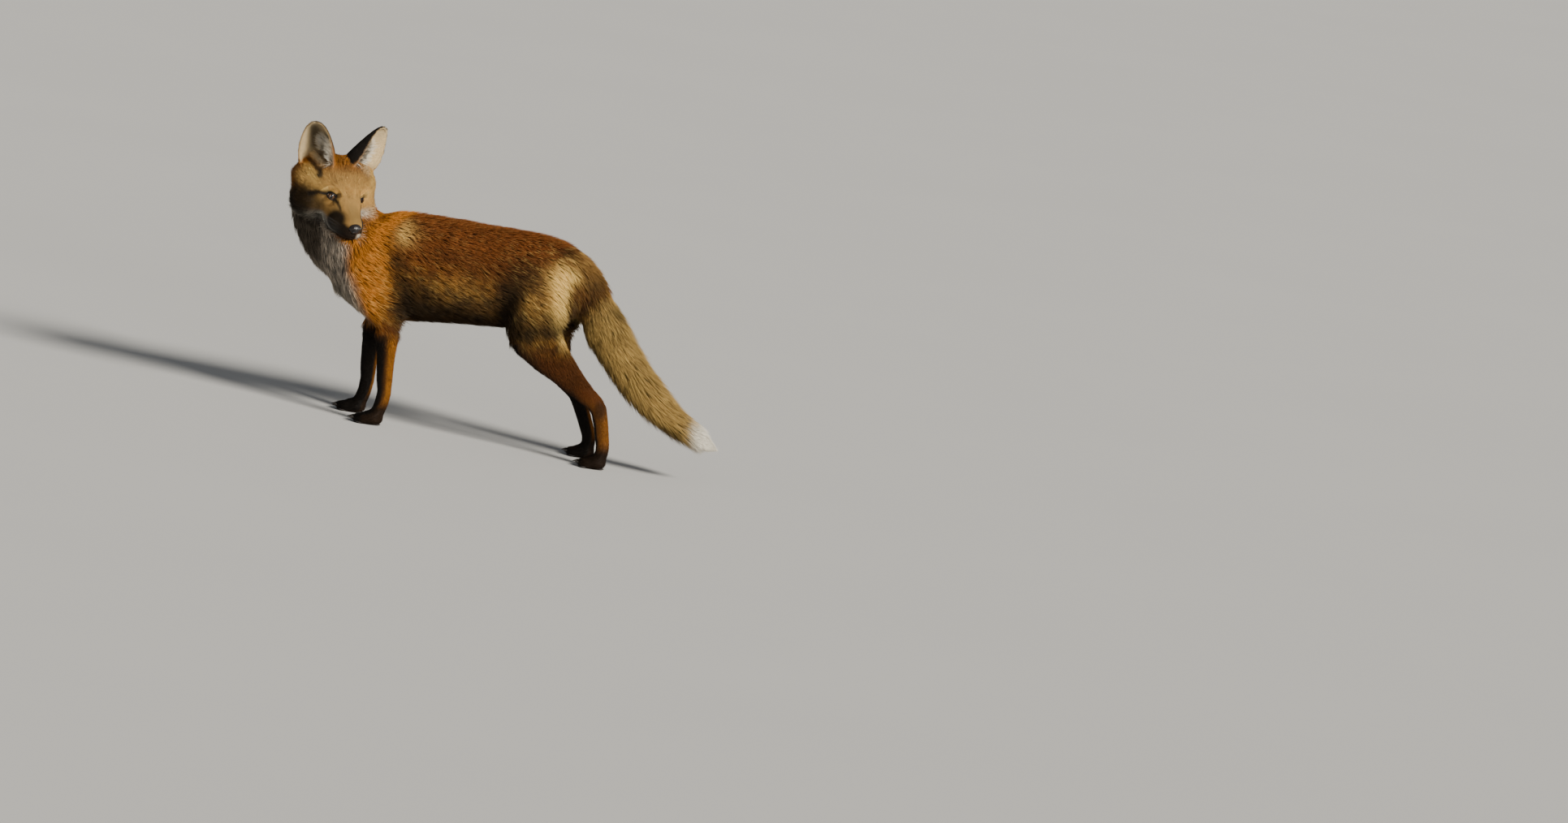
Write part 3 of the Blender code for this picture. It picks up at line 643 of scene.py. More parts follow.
marks["dark"] = most(
    0.98 * patch(0.004, 0.232, 0.032, 0.075, 0.55) * hind_body,  # painted shade in the fold of the flank before the thigh
    0.65 * patch(0.018, 0.290, 0.040, 0.030) * body,
    0.97 * patch(-0.184, 0.252, 0.014, 0.050, 0.55, 22) * is_trunk,  # painted shade behind the shoulder
    0.97 * patch(-0.158, 0.203, 0.034, 0.046) * is_trunk,  # painted shade at the elbow
    0.95 * rise(z + 0.010 * blotch, 0.262, 0.205) * is_trunk * rise(y, -0.20, -0.16),  # painted shade under the belly
    0.55 * rise(blotch, 0.10, 0.8) * rise(y, -0.19, -0.16) * rise(z, 0.33, 0.29) * is_trunk,
    # painted shade between the pale thigh and the tail
    0.55 * shade_behind_strip * rise(z, 0.30, 0.25) * hind_body * rise(y, 0.07, 0.09),
    0.75 * patch(0.080, 0.338, 0.012, 0.006),
    0.75 * patch(0.184, 0.262, 0.011, 0.013) * is_tail,
    0.75 * rise(-normals[:, 2], 0.15, 0.75) * is_tail * rise(y, 0.35, 0.30),  # painted shade under the tail
    0.85 * ear_hollow_skin_and_shade * (1 - 0.7 * fringe),
    0.35 * is_hind * rise(z, 0.20, 0.17) * rise(z, 0.115, 0.135) * (1 - strip),  # above the hock
    0.96 * brown_cheek_and_shade,
    0.80 * painted_cheek_shade,
    0.85 * throat * body * rise(y, -0.316, -0.330) * rise(z, 0.220, 0.265))  # painted shadow of the head on the front of the throat
marks["grizzle"] = most(
    patch(0.035, 0.250, 0.050, 0.080) * hind_body,
    0.8 * patch(0.085, 0.330, 0.040, 0.020) * body,  # rump
    face_patch(0.030, 0.024, 0.026, 0.022),  # forehead
    0.5 * is_tail_soft,
    is_trunk * (0.12 + 0.33 * rise(z, 0.31, 0.25)))
# Black fur, and painted shade in the opening of the right ear and behind the right eye.
marks["soot"] = most(
    fore_black,
    hind_black,
    0.95 * is_paw * rise(z, 0.050, 0.024),
    0.5 * is_paw * rise(frontward, -0.6, 0.3),
    0.68 * patch(0.187, 0.094, 0.011, 0.016) * is_hind,  # point of the hock
    ear_black,
    0.97 * muzzle_side * (1 - 0.95 * lip),
    chin * (1 - 0.95 * lip),
    0.92 * tear,
    0.92 * behind_eye,
    0.95 * ear_opening_shade,
    eye_line * np.where(head_right, 1, 0.55))
marks["bare"] = most(rise(eye_gap, 0.0014, 0.0006), rise(np.abs(height), 0.0009, 0.0003) * lips)
marks = {name: np.clip(value, 0, 1) for name, value in marks.items()}
soft_marks = [name for name in marks if name not in ("soot", "bare")]
softened = spread(np.stack([marks[name] for name in soft_marks], 1), edges, 5)
marks.update(zip(soft_marks, softened.T))


# Unwrap of the hide: each piece of flesh is rolled out flat like a label off a tin, about its own
# long axis, and the labels lie side by side on one square. An ear has a label for each of its faces.
charts = np.where(in_cup > 0.5, piece + len(flesh_nodes), piece)
chart_uv = np.zeros((len(hide_points), 2))
labels = []
for chart in np.unique(charts):
    mine = charts == chart
    spot = hide_points[mine] - hide_points[mine].mean(0)
    axes = np.linalg.svd(spot, full_matrices=False)[2]
    along, one, other = (spot @ axes.T).T
    flat = "ear" in flesh_nodes[chart % len(flesh_nodes)]
    around = one if flat else np.arctan2(other, one) * np.hypot(one, other).mean()
    place = np.stack([around - around.min(), along - along.min()], 1)
    labels.append((place.max(0), mine))
    chart_uv[mine] = place
labels.sort(key=lambda label: -label[0][1])
LABEL_GAP, SQUARE = 0.008, 0.92  # metres between the labels, and across the square that holds them
corner, shelf = np.array((LABEL_GAP, LABEL_GAP)), 0.0
for size, mine in labels:
    if corner[0] + size[0] > SQUARE:
        corner, shelf = np.array((LABEL_GAP, corner[1] + shelf + LABEL_GAP)), 0.0
    chart_uv[mine] += corner
    corner[0] += size[0] + LABEL_GAP
    shelf = max(shelf, size[1])
chart_uv /= SQUARE

# ---------------------------------------------------------------- coat
# Some 200,000 pointed tufts of hair, each a closed spike of three sides that leaves the hide at a low
# angle. The short ones of the face, ears and feet are straight; the long ones curl over to lie along
# the body. They stand closest where they are shortest, and lean together in locks on the long coat.
COAT_TUFTS = 205000
SHORT_HAIR = 0.0088  # a tuft shorter than this is straight
SEAM = 0.02  # a face whose corners lie this far apart on the bake map crosses a seam of it
rng = np.random.default_rng(11)

hide.data.calc_loop_triangles()
corners = np.empty(len(hide.data.loop_triangles) * 3, int)
hide.data.loop_triangles.foreach_get("vertices", corners)
corners = corners.reshape(-1, 3)
corner_a, corner_b, corner_c = (sunk[corners[:, index]] for index in range(3))
areas = np.linalg.norm(np.cross(corner_b - corner_a, corner_c - corner_a), axis=1) / 2
hair_length = length * (1 - 0.15 * in_cup) + 0.0150 * fringe + 0.0060 * ear_floor
hair_length = hair_length * (1 - 0.68 * rise(eye_gap, 0.016, 0.002))  # shorter round the eyes
hair_width = (0.00050 + 0.031 * hair_length) * (1 - 0.30 * is_tail_soft)
layers = (2.6 + 2.6 * rise(hair_length, 0.006, 0.018)) * (1 + 0.8 * is_tail_soft)  # tufts over a point
crowd = layers / (hair_length * hair_width)
crowd *= 1 - marks["bare"]
crowd *= np.where((sunk - datum)[:, 2] < 0.002, 0.15, 1.0)  # hardly any on the soles
wanted = crowd[corners].mean(1) * areas
wanted *= COAT_TUFTS / wanted.sum()
running = np.concatenate([[0], np.cumsum(wanted)])
picks = np.searchsorted(running, np.arange(COAT_TUFTS) + rng.random(COAT_TUFTS) * 0.999) - 1
picks = np.clip(picks, 0, len(corners) - 1)
shares = rng.dirichlet((1, 1, 1), COAT_TUFTS)


def at_roots(values):
    """A value of the hide's vertices, at the root of each tuft."""
    return np.einsum("tk,tk...->t...", shares, values[corners[picks]])


root, normal, way = at_roots(sunk), unit(at_roots(normals)), unit(at_roots(ways))
root_length, root_width, root_depth = at_roots(hair_length), at_roots(hair_width), at_roots(depth)
root_marks = {name: at_roots(value) for name, value in marks.items()}
root_piece = piece[corners[picks, 0]]
root_uv = at_roots(chart_uv)
apart = np.abs(chart_uv[corners[picks]] - chart_uv[corners[picks, 0]][:, None]).max((1, 2))
root_uv = np.where((apart < SEAM)[:, None], root_uv, chart_uv[corners[picks, 0]])
across = np.cross(normal, way)
on_tail, on_fringe = at_roots(is_tail_soft), at_roots(np.maximum(fringe, ear_floor))

# Locks: the tips of neighbouring tufts lean towards one of them.
LOCK_REACH = 0.008  # a tip leans a share of the way to its leader, counted up to this far
LOCK_TUFTS = 16
leaders = rng.permutation(COAT_TUFTS)[: COAT_TUFTS // LOCK_TUFTS]
tree = KDTree(len(leaders))
for index, leader in enumerate(leaders):
    tree.insert(root[leader], index)
tree.balance()
lock_of = leaders[[tree.find(p)[1] for p in root]]
to_leader = root[lock_of] - root
to_leader -= normal * (to_leader * normal).sum(1)[:, None]
lean = rise(root_length, 0.008, 0.022) * (0.40 - 0.15 * on_tail)
reach = np.linalg.norm(to_leader, axis=1)
to_leader *= (lean * np.minimum(1, LOCK_REACH / np.maximum(reach, 1e-6)))[:, None]

swirl = 0.20 * mottle(root, 0.026, 3) + 0.13 * mottle(root, 0.010, 5) + rng.normal(0, 0.07, COAT_TUFTS)
swirl *= 0.35 + 0.65 * rise(root_length, 0.004, 0.018)
way = way * np.cos(swirl)[:, None] + across * np.sin(swirl)[:, None]
across = np.cross(normal, way)
long = root_length * (1 + 0.14 * mottle(root, 0.014, 7)) * rng.uniform(0.72, 1.12, COAT_TUFTS)
wide = root_width * rng.uniform(0.7, 1.3, COAT_TUFTS)
standing = np.clip(root_depth / root_length, 0.08, 0.55) * rng.uniform(0.80, 1.20, COAT_TUFTS)
standing += 0.45 * on_fringe * rng.uniform(0.5, 1.2, COAT_TUFTS)
curl = rng.normal(0, 0.05, COAT_TUFTS) * long
shade = 0.45 * mottle(root, 0.026, 9) + 0.30 * mottle(root, 0.008, 13) + rng.uniform(-0.35, 0.35, COAT_TUFTS)
tick = np.clip(0.5 + 0.50 * mottle(root, 0.0045, 17) + rng.uniform(-0.25, 0.25, COAT_TUFTS), 0, 1)

# A tuft has a ring of three corners at its root and at each step along it, and a tip.
SHORT_STEPS, LONG_STEPS = (0.0,), (0.0, 0.48)
GIRTH_AT_ROOT, GIRTH_ALONG = 0.75, 1.0
CREST, SUNK = 0.27, 0.35  # height of a tuft's ridge, and depth of its root, against its width
TUFT_OFF_FLOOR = 0.0004
UV_PATCH = 0.003  # side of a tuft's own square on the bake map


def ring(step, girth, who):
    """Three corners round the tufts of `who`, at a step from 0 at the root to 1 at the tip."""
    climb = (1.7 * step - 0.7 * step**2) * standing[who]
    centre = root[who] + (long[who] * step)[:, None] * way[who]
    centre = centre + (long[who] * climb)[:, None] * normal[who]
    centre = centre + step**2 * to_leader[who] + (step**2 * curl[who])[:, None] * across[who]
    half = (0.5 * wide[who] * girth)[:, None] * across[who]
    return [centre - half, centre + half, centre + (CREST * wide[who] * girth)[:, None] * normal[who]]


def tuft_faces(steps):
    """Faces of one tuft with rings at these steps, and each corner's place on its square patch."""
    faces, places = [], []
    heights = [*steps, 1.0]
    turns = [(0, 2), (2, 1), (1, 0)]
    for level in range(len(steps)):
        low, high = 0.1 + 0.9 * heights[level], 0.1 + 0.9 * heights[level + 1]
        for column, (one, other) in enumerate(turns):
            left, right = column / 3, (column + 1) / 3
            one, other = one + 3 * level, other + 3 * level
            if level + 1 < len(steps):
                faces.append((one, other, other + 3, one + 3))
                places += [(left, low), (right, low), (right, high), (left, high)]
            else:
                faces.append((one, other, 3 * len(steps)))
                places += [(left, low), (right, low), ((left + right) / 2, high)]
    faces.append((0, 1, 2))
    places += [(0.0, 0.0), (0.33, 0.0), (0.17, 0.1)]
    return faces, np.array(places) - 0.5


def tufts_of(who, steps):
    """Points, corners, face sizes, bake places and heights of the tufts of `who`."""
    girths = [GIRTH_AT_ROOT] + [GIRTH_ALONG] * (len(steps) - 1)
    points = [corner for step, girth in zip(steps, girths) for corner in ring(step, girth, who)]
    for index in range(3):
        points[index] = points[index] - (SUNK * wide[who])[:, None] * normal[who]
    points = np.stack(points + [ring(1.0, 0.0, who)[0]], 1)
    points[:, :, 2] = np.maximum(points[:, :, 2], TUFT_OFF_FLOOR)
    faces, places = tuft_faces(steps)
    each, flat = points.shape[1], np.array([i for face in faces for i in face])
    loops = flat[None] + each * np.arange(len(who))[:, None]
    sizes = np.tile([len(face) for face in faces], len(who))
    bake = root_uv[who][:, None] + places[None] * UV_PATCH
    heights = np.tile([*np.repeat(steps, 3), 1.0], len(who))
    return points.reshape(-1, 3), loops.ravel(), sizes, bake.reshape(-1, 2), heights, np.repeat(who, each)


def tuft_mesh(name, chosen):
    """One mesh of the chosen tufts, with their markings, shade and bake map."""
    short = long[chosen] < SHORT_HAIR
    kinds = [tufts_of(chosen[short], SHORT_STEPS), tufts_of(chosen[~short], LONG_STEPS)]
    points, loops, sizes, bake, heights, owner = (
        [kind[index] for kind in kinds] for index in range(6))
    loops[1] = loops[1] + len(points[0])
    points, loops, sizes, bake, heights, owner = (
        np.concatenate(values) for values in (points, loops, sizes, bake, heights, owner))
    mesh = bpy.data.meshes.new(name)
    mesh.vertices.add(len(points))
    mesh.vertices.foreach_set("co", points.ravel())
    mesh.loops.add(len(loops))
    mesh.loops.foreach_set("vertex_index", loops)
    mesh.polygons.add(len(sizes))
    mesh.polygons.foreach_set("loop_start", np.cumsum(sizes) - sizes)
    mesh.polygons.foreach_set("loop_total", sizes)
    mesh.polygons.foreach_set("use_smooth", np.ones(len(sizes), bool))
    uv = mesh.uv_layers.new(name="OFBake")
    uv.data.foreach_set("uv", bake.ravel())
    for mark in root_marks:
        add_values(mesh, mark, root_marks[mark][owner])
    add_values(mesh, "shade", shade[owner])
    add_values(mesh, "tick", tick[owner])
    add_values(mesh, "tip", heights)
    mesh.validate()
    mesh.update()
    return put(name, mesh)


def add_values(mesh, name, values):
    mesh.attributes.new(name, "FLOAT", "POINT").data.foreach_set("value", values.astype(np.float32))


class Wire:
    """A socket in a material's node tree. Arithmetic on it adds Math nodes."""

    def __init__(self, tree, socket=None):
        self.tree, self.socket = tree, socket

    def node(self, kind, values=(), out=0, **settings):
        """Adds a node with its settings and input values or links, and returns one of its outputs."""
        made = self.tree.nodes.new(kind)
        for key, value in settings.items():
            setattr(made, key, value)
        for key, value in dict(values).items():
            if isinstance(value, Wire):
                self.tree.links.new(value.socket, made.inputs[key])
            else:
                made.inputs[key].default_value = value
        return Wire(self.tree, made.outputs[out])

    def maths(self, operation, one, other):
        return self.node("ShaderNodeMath", {0: one, 1: other}, operation=operation)

    def __add__(self, other):
        return self.maths("ADD", self, other)

    def __sub__(self, other):
        return self.maths("SUBTRACT", self, other)

    def __rsub__(self, other):
        return self.maths("SUBTRACT", other, self)

    def __mul__(self, other):
        return self.maths("MULTIPLY", self, other)

    __radd__, __rmul__ = __add__, __mul__

    def hypot(self, other):
        return self.maths("POWER", self * self + other * other, 0.5)

    def between(self, start, end):
        """0 up to start and 1 from end."""
        return self.node("ShaderNodeMapRange", {0: self, 1: start, 2: end})

    def mixed(self, one, other):
        """A colour between one and other, by this share of the other."""
        return self.node("ShaderNodeMix", {0: self, 6: one, 7: other}, out=2, data_type="RGBA")

    def mark(self, name):
        """A value that the mesh carries under this name."""
        return self.node("ShaderNodeAttribute", out=2, attribute_name=name)

    def place(self):
        """The Object coordinates."""
        return self.node("ShaderNodeTexCoord", out=3)

    def noise(self, scale, detail=3.0):
        inputs = {"Vector": self.place(), "Scale": scale, "Detail": detail}
        return self.node("ShaderNodeTexNoise", inputs)

    def bump(self, height, strength, distance):
        inputs = {"Strength": strength, "Distance": distance, "Height": height}
        return self.node("ShaderNodeBump", inputs)


def new_material(name, **values):
    """A Principled material with the given inputs, and a Wire to build on."""
    made = bpy.data.materials.new(name)
    made.use_nodes = True
    shader = made.node_tree.nodes["Principled BSDF"]
    for key, value in values.items():
        shader.inputs[key.replace("_", " ")].default_value = value
    return made, shader, Wire(made.node_tree)


def connect(wire, shader, **links):
    for key, value in links.items():
        wire.tree.links.new(value.socket, shader.inputs[key.replace("_", " ")])


def rgb(red, green, blue):
    return (red, green, blue, 1.0)


GOLD, BROWN = rgb(0.280, 0.125, 0.022), rgb(0.078, 0.031, 0.006)  # of the ground, in flecks
TICKING = rgb(0.050, 0.027, 0.013)
COLOURS = {
    "rust": rgb(0.138, 0.043, 0.009),
    "orange": rgb(0.400, 0.150, 0.020),
    "fawn": rgb(0.580, 0.345, 0.110),
    "tan": rgb(0.350, 0.228, 0.072),
    "cream": rgb(0.860, 0.585, 0.180),
    "white": rgb(0.720, 0.680, 0.580),
    "ash": rgb(0.080, 0.078, 0.068),
    "dark": rgb(0.015, 0.009, 0.004),
    "soot": rgb(0.010, 0.008, 0.007),
}


def coat_colour(wire, tip):
    """The fox's colours with their painted shade, from the marks carried by the mesh. tip runs from root to
    tip.
    """
    flecks = wire.noise(48.0, 4.0)
    tick, grizzle = wire.mark("tick"), wire.mark("grizzle") * tip
    colour = flecks.between(0.40, 0.62).mixed(GOLD, BROWN)
    for name, tone in COLOURS.items():
        share = wire.mark(name)
        if name == "cream":  # the grizzled hairs lie under the pale marks
            colour = (tick.between(0.66, 0.90) * grizzle * 0.95).mixed(colour, TICKING)
            colour = (tick.between(0.32, 0.14) * grizzle * 0.7).mixed(colour, tone)
        if name == "ash":  # white tips show through it
            share = share * tick.between(0.1, 0.7)
        colour = share.mixed(colour, tone)
    return colour


fur, shader, wire = new_material(
    "fur", Roughness=0.70, Specular_IOR_Level=0.07,
    Sheen_Weight=0.04, Sheen_Roughness=0.45, Sheen_Tint=rgb(1.0, 0.80, 0.55))
tip = wire.mark("tip")
light = (wire.mark("shade") * 0.22 + 1.0) * (tip * 0.45 + 0.68)  # darker towards the root
tone = wire.node("ShaderNodeHueSaturation", {"Color": coat_colour(wire, tip), "Value": light})
connect(wire, shader, Base_Color=tone)

skin, shader, wire = new_material("skin", Roughness=0.66, Specular_IOR_Level=0.20)
lid_leather = wire.mark("bare").mixed(coat_colour(wire, wire.noise(300.0)), rgb(0.012, 0.009, 0.008))
tone = wire.node("ShaderNodeHueSaturation", {"Color": lid_leather, "Value": 0.68})
bump = wire.bump(wire.noise(900.0, 2.0), 0.35, 0.0006)
connect(wire, shader, Base_Color=tone, Normal=bump, Roughness=wire.mark("bare") * -0.30 + 0.66)

for mark, values in marks.items():
    add_values(hide.data, mark, values)
bake_map = hide.data.uv_layers.new(name="OFBake")
loop_vertex = np.empty(len(hide.data.loops), int)
hide.data.loops.foreach_get("vertex_index", loop_vertex)
bake_map.data.foreach_set("uv", chart_uv[loop_vertex].ravel())
hide.data.materials.append(skin)
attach(hide, "root")
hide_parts(*flesh_nodes)

piece_name = np.array(flesh_nodes)[root_piece]
FACE_PARTING, TRUNK_PARTING = 0.012, -0.075  # forward in the head, and along the fox
on_front = to_head(root)[:, 0] > FACE_PARTING
left_side, fore_half = root[:, 0] > datum[0], root[:, 1] < datum[1] + TRUNK_PARTING
COATS = {  # the flesh that each grows on, the part of it, and the slot
    "coat_face": ("head", on_front, "rust_coat"),
    "coat_crown": ("head", ~on_front, "rust_coat"),
    "coat_ear_left": ("ear_left", True, "black_coat"),
    "coat_ear_right": ("ear_right", True, "black_coat"),
    "coat_neck": ("neck", True, "rust_coat"),
    "coat_shoulder_left": ("trunk", left_side & fore_half, "rust_coat"),
    "coat_shoulder_right": ("trunk", ~left_side & fore_half, "rust_coat"),
    "coat_hip_left": ("trunk", left_side & ~fore_half, "rust_coat"),
    "coat_hip_right": ("trunk", ~left_side & ~fore_half, "rust_coat"),
    "coat_front_left_leg": ("front_left", True, "black_coat"),
    "coat_front_right_leg": ("front_right", True, "black_coat"),
    "coat_hind_left_leg": ("hind_left", True, "black_coat"),
    "coat_hind_right_leg": ("hind_right", True, "black_coat"),
    "coat_tail_root": ("tail_root", True, "tawny_coat"),
    "coat_tail_brush": ("tail_brush", True, "tawny_coat"),
    "coat_tail_tip": ("tail_tip", True, "white_coat"),
}
for name, (word, where, slot) in COATS.items():
    chosen = np.flatnonzero((np.char.find(piece_name, word) >= 0) & where)
    coat = tuft_mesh(name, chosen)
    coat.data.materials.append(fur)
    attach(coat, "root")

# ---------------------------------------------------------------- eyes
# Each eye is a ball with a clear bulge over the iris. The iris is brown with a slit pupil, and the
# whole is wet. The lids of the hide hold it.
CORNEA_RADIUS, EYE_BULGE = 0.0064, 0.0009
IRIS, WHITE_OF_EYE = 0.0056, 0.0063  # radii at which the iris ends and the white begins
PUPIL_HALF_WIDTH, PUPIL_HALF_HEIGHT = 0.0023, 0.0038
GAZE_TURN = {LEFT: math.radians(13), RIGHT: math.radians(32)}  # both look to the fox's right
GAZE_RISE = 0.30
for side, node in ((LEFT, "eye_left"), (RIGHT, "eye_right")):
    look = unit(np.array((math.cos(GAZE_TURN[side]), side * math.sin(GAZE_TURN[side]), GAZE_RISE)))
    points, faces = ball((1, 1, 1), across=48, along=32)
    ahead = points[:, 0]
    shift = EYE_RADIUS + EYE_BULGE - CORNEA_RADIUS  # from the ball's centre to the bulge's
    bulge = shift * ahead + np.sqrt(np.maximum(CORNEA_RADIUS**2 - shift**2 * (1 - ahead**2), 0))
    points = points * np.maximum(EYE_RADIUS, bulge)[:, None]
    beside = np.cross((0, 0, 1), look)
    axes = np.array((look, beside, np.cross(look, beside)))
    in_socket = in_head(points @ axes + EYE_CENTRE * (1, side, 1))
    eye = add_mesh(node.replace("eye", "eyeball"), in_socket, faces)
    for column, name in enumerate(("iris_ahead", "iris_across", "iris_up")):
        add_values(eye.data, name, points[:, column])
    wet, shader, wire = new_material(
        node + "_wet", Roughness=0.30, Specular_IOR_Level=0.0, Coat_Weight=1.0, Coat_Roughness=0.01)
    over, high = wire.mark("iris_across"), wire.mark("iris_up")
    out_from = over.hypot(high)
    slit = (over * (1 / PUPIL_HALF_WIDTH)).hypot(high * (1 / PUPIL_HALF_HEIGHT))
    strands = (out_from * (1 / IRIS) + wire.noise(2200.0, 2.0) * 0.5).between(0.45, 1.3)
    colour = strands.mixed(rgb(0.110, 0.058, 0.030), rgb(0.030, 0.015, 0.008))
    colour = out_from.between(IRIS * 0.86, IRIS).mixed(colour, rgb(0.012, 0.008, 0.006))
    colour = out_from.between(IRIS, WHITE_OF_EYE).mixed(colour, rgb(0.20, 0.15, 0.12))
    colour = wire.mark("iris_ahead").between(0.0, 0.002).mixed(rgb(0.10, 0.065, 0.050), colour)
    colour = slit.between(0.9, 1.1).mixed(rgb(0.004, 0.003, 0.003), colour)
    connect(wire, shader, Base_Color=colour)
    eye.data.materials.append(wet)
    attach(eye, "root")
    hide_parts(node)

# ---------------------------------------------------------------- nose
# The nose is a bare pad of black, pebbled, damp leather at the tip of the muzzle, with a groove down
# its middle and a comma-shaped nostril at each side.
NOSE_RADII = np.array((0.0088, 0.0110, 0.0086))
points, faces = ball((1, 1, 1), across=96, along=64)
low = np.clip(-points[:, 2], 0, 1)
dent = 0.0010 * bell(points[:, 1], 0.07) * rise(points[:, 2], 0.75, 0.2) * (points[:, 0] > 0)
NOSTRIL = (  # forward, out and up of three dents that run into each other, their reach and depth
    (0.80, 0.50, 0.05, 0.24, 0.0034), (0.66, 0.70, -0.06, 0.17, 0.0022), (0.50, 0.84, -0.16, 0.13, 0.0014))
for side in (LEFT, RIGHT):
    for ahead, aside, high, reach, deep in NOSTRIL:
        middle = unit(np.array((ahead, side * aside, high)))
        dent += deep * bell(np.linalg.norm(points - middle, axis=1), reach)
flare = 0.0009 * bell(np.abs(points[:, 1]) - 0.55, 0.1732) * rise(points[:, 0], 0.1, 0.6)
shape = points * NOSE_RADII + points * (flare - dent)[:, None]
shape[:, 1] *= 1 - 0.42 * low
shape[:, 0] -= 0.0020 * low
nose = add_mesh("nose_pad", in_head(shape + NOSE_CENTRE), faces)


def pebbled(wire, scale):
    """The bump of a leather covered with small round pebbles."""
    pebbles = wire.node("ShaderNodeTexVoronoi", {"Vector": wire.place(), "Scale": scale}, feature="SMOOTH_F1")
    return wire.bump(1.0 - pebbles, 0.5, 0.0004)


def patchy(wire, scale, dark, light):
    return wire.noise(scale).between(0.35, 0.7).mixed(rgb(*dark), rgb(*light))


leather, shader, wire = new_material("nose_leather", Roughness=0.45, Coat_Weight=0.20, Coat_Roughness=0.20)
tone = patchy(wire, 220.0, (0.007, 0.006, 0.006), (0.020, 0.015, 0.015))
damp = wire.noise(500.0) * 0.2 + 0.26
connect(wire, shader, Base_Color=tone, Normal=pebbled(wire, 1500.0), Roughness=damp)
nose.data.materials.append(leather)
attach(nose, "root")
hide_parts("nose")

# ---------------------------------------------------------------- claws
# Four claws of dark horn on each foot, a bent cone growing out of the end of each toe, blunt and
# half hidden in the hair of the toes. They don't draw in as a cat's do.
CLAW_LENGTH, CLAW_THICKNESS, CLAW_HEIGHT = 0.0075, 0.0014, 0.0088
CLAW_PITCH = TOE_PITCH + 0.0016  # the claws splay wider than the toes
CLAW_REACH = (0.0355, 0.0290)  # ahead of the foot's middle, on the inner toes and the outer ones
CLAW_SPLAY, CLAW_FALL = 0.12, 0.30
TOES = (-1.5, -0.5, 0.5, 1.5)  # places of the toes across a foot, in toe widths


def toe_places(reach, pitch, height):
    """A place at each toe of each foot, with the toe's place across the foot and the foot's size."""
    for side, foot_y, size in FEET.values():
        for toe in TOES:
            over = side * FOOT_OUT + pitch * toe * size
            yield datum + (over, foot_y - reach[abs(toe) > 1] * size, height), toe, size


def new_tree(name, sockets):
    """A node tree that takes Points, a Finish and these inputs, and a Wire for each of them."""
    tree = bpy.data.node_groups.new(name, "GeometryNodeTree")
    sockets = {"Points": "Geometry", **sockets, "Finish": "Material"}
    for label, kind in sockets.items():
        tree.interface.new_socket(label, in_out="INPUT", socket_type="NodeSocket" + kind)
    tree.interface.new_socket("Grown", in_out="OUTPUT", socket_type="NodeSocketGeometry")
    inputs = tree.nodes.new("NodeGroupInput").outputs
    return tree, {label: Wire(tree, inputs[label]) for label in sockets}


def close_tree(tree, given, piece, **placing):
    """Sets the piece at each point, makes the copies real and smooth, and gives them their finish."""
    wire = given["Points"]
    grown = wire.node("GeometryNodeInstanceOnPoints", {"Points": wire, "Instance": piece, **placing})
    real = wire.node("GeometryNodeRealizeInstances", {"Geometry": grown})
    smooth = wire.node("GeometryNodeSetShadeSmooth", {"Geometry": real})
    done = wire.node("GeometryNodeSetMaterial", {"Geometry": smooth, "Material": given["Finish"]})
    tree.links.new(done.socket, tree.nodes.new("NodeGroupOutput").inputs["Grown"])


def spike_tree():
    """A node tree that grows a bent, tapering spike at each point of a mesh, along its `aim`."""
    tree, given = new_tree("spikes", {
        "Length": "Float", "Thickness": "Float", "Bend": "Float", "Fullness": "Float", "Sides": "Int",
        "Unevenness": "Float", "Seed": "Int"})
    wire = given["Length"]
    middle = wire.node("ShaderNodeCombineXYZ", {0: wire * 0.5, 2: wire * given["Bend"]})
    end = wire.node("ShaderNodeCombineXYZ", {0: wire})
    spine = wire.node(
        "GeometryNodeCurveQuadraticBezier",
        {"Resolution": 7, "Start": (0, 0, 0), "Middle": middle, "End": end})
    section = wire.node(
        "GeometryNodeCurvePrimitiveCircle", {"Resolution": given["Sides"], "Radius": given["Thickness"]})
    along = wire.node("GeometryNodeSplineParameter")
    taper = 1.02 - wire.maths("POWER", along, given["Fullness"])
    spike = wire.node(
        "GeometryNodeCurveToMesh",
        {"Curve": spine, "Profile Curve": section, "Scale": taper, "Fill Caps": True})
    aim = wire.node("GeometryNodeInputNamedAttribute", {"Name": "aim"}, data_type="FLOAT_VECTOR")
    size = wire.node("GeometryNodeInputNamedAttribute", {"Name": "size"}, data_type="FLOAT")
    pointed = wire.node("FunctionNodeAlignRotationToVector", {"Vector": aim}, axis="X")
    upright = {"Rotation": pointed, "Vector": (0, 0, 1)}
    level = wire.node("FunctionNodeAlignRotationToVector", upright, axis="Z", pivot_axis="X")
    spread_of_sizes = {2: 1.0 - given["Unevenness"], 3: given["Unevenness"] + 1.0, "Seed": given["Seed"]}
    uneven = wire.node("FunctionNodeRandomValue", spread_of_sizes, out=1)
    close_tree(tree, given, spike, Rotation=level, Scale=size * uneven)
    return tree


spikes = spike_tree()


def grow(name, starts, aims, sizes, tree, **inputs):
    """Runs a node tree on points with an aim and a size each, and leaves a plain mesh."""
    obj = add_mesh(name, starts, [])
    obj.data.attributes.new("aim", "FLOAT_VECTOR", "POINT").data.foreach_set("vector", np.ravel(aims))
    add_values(obj.data, "size", np.asarray(sizes, float))
    growth = obj.modifiers.new("growth", "NODES")
    growth.node_group = tree
    for item in tree.interface.items_tree:
        if item.name in inputs:
            growth[item.identifier] = inputs[item.name]
    return settle(obj)


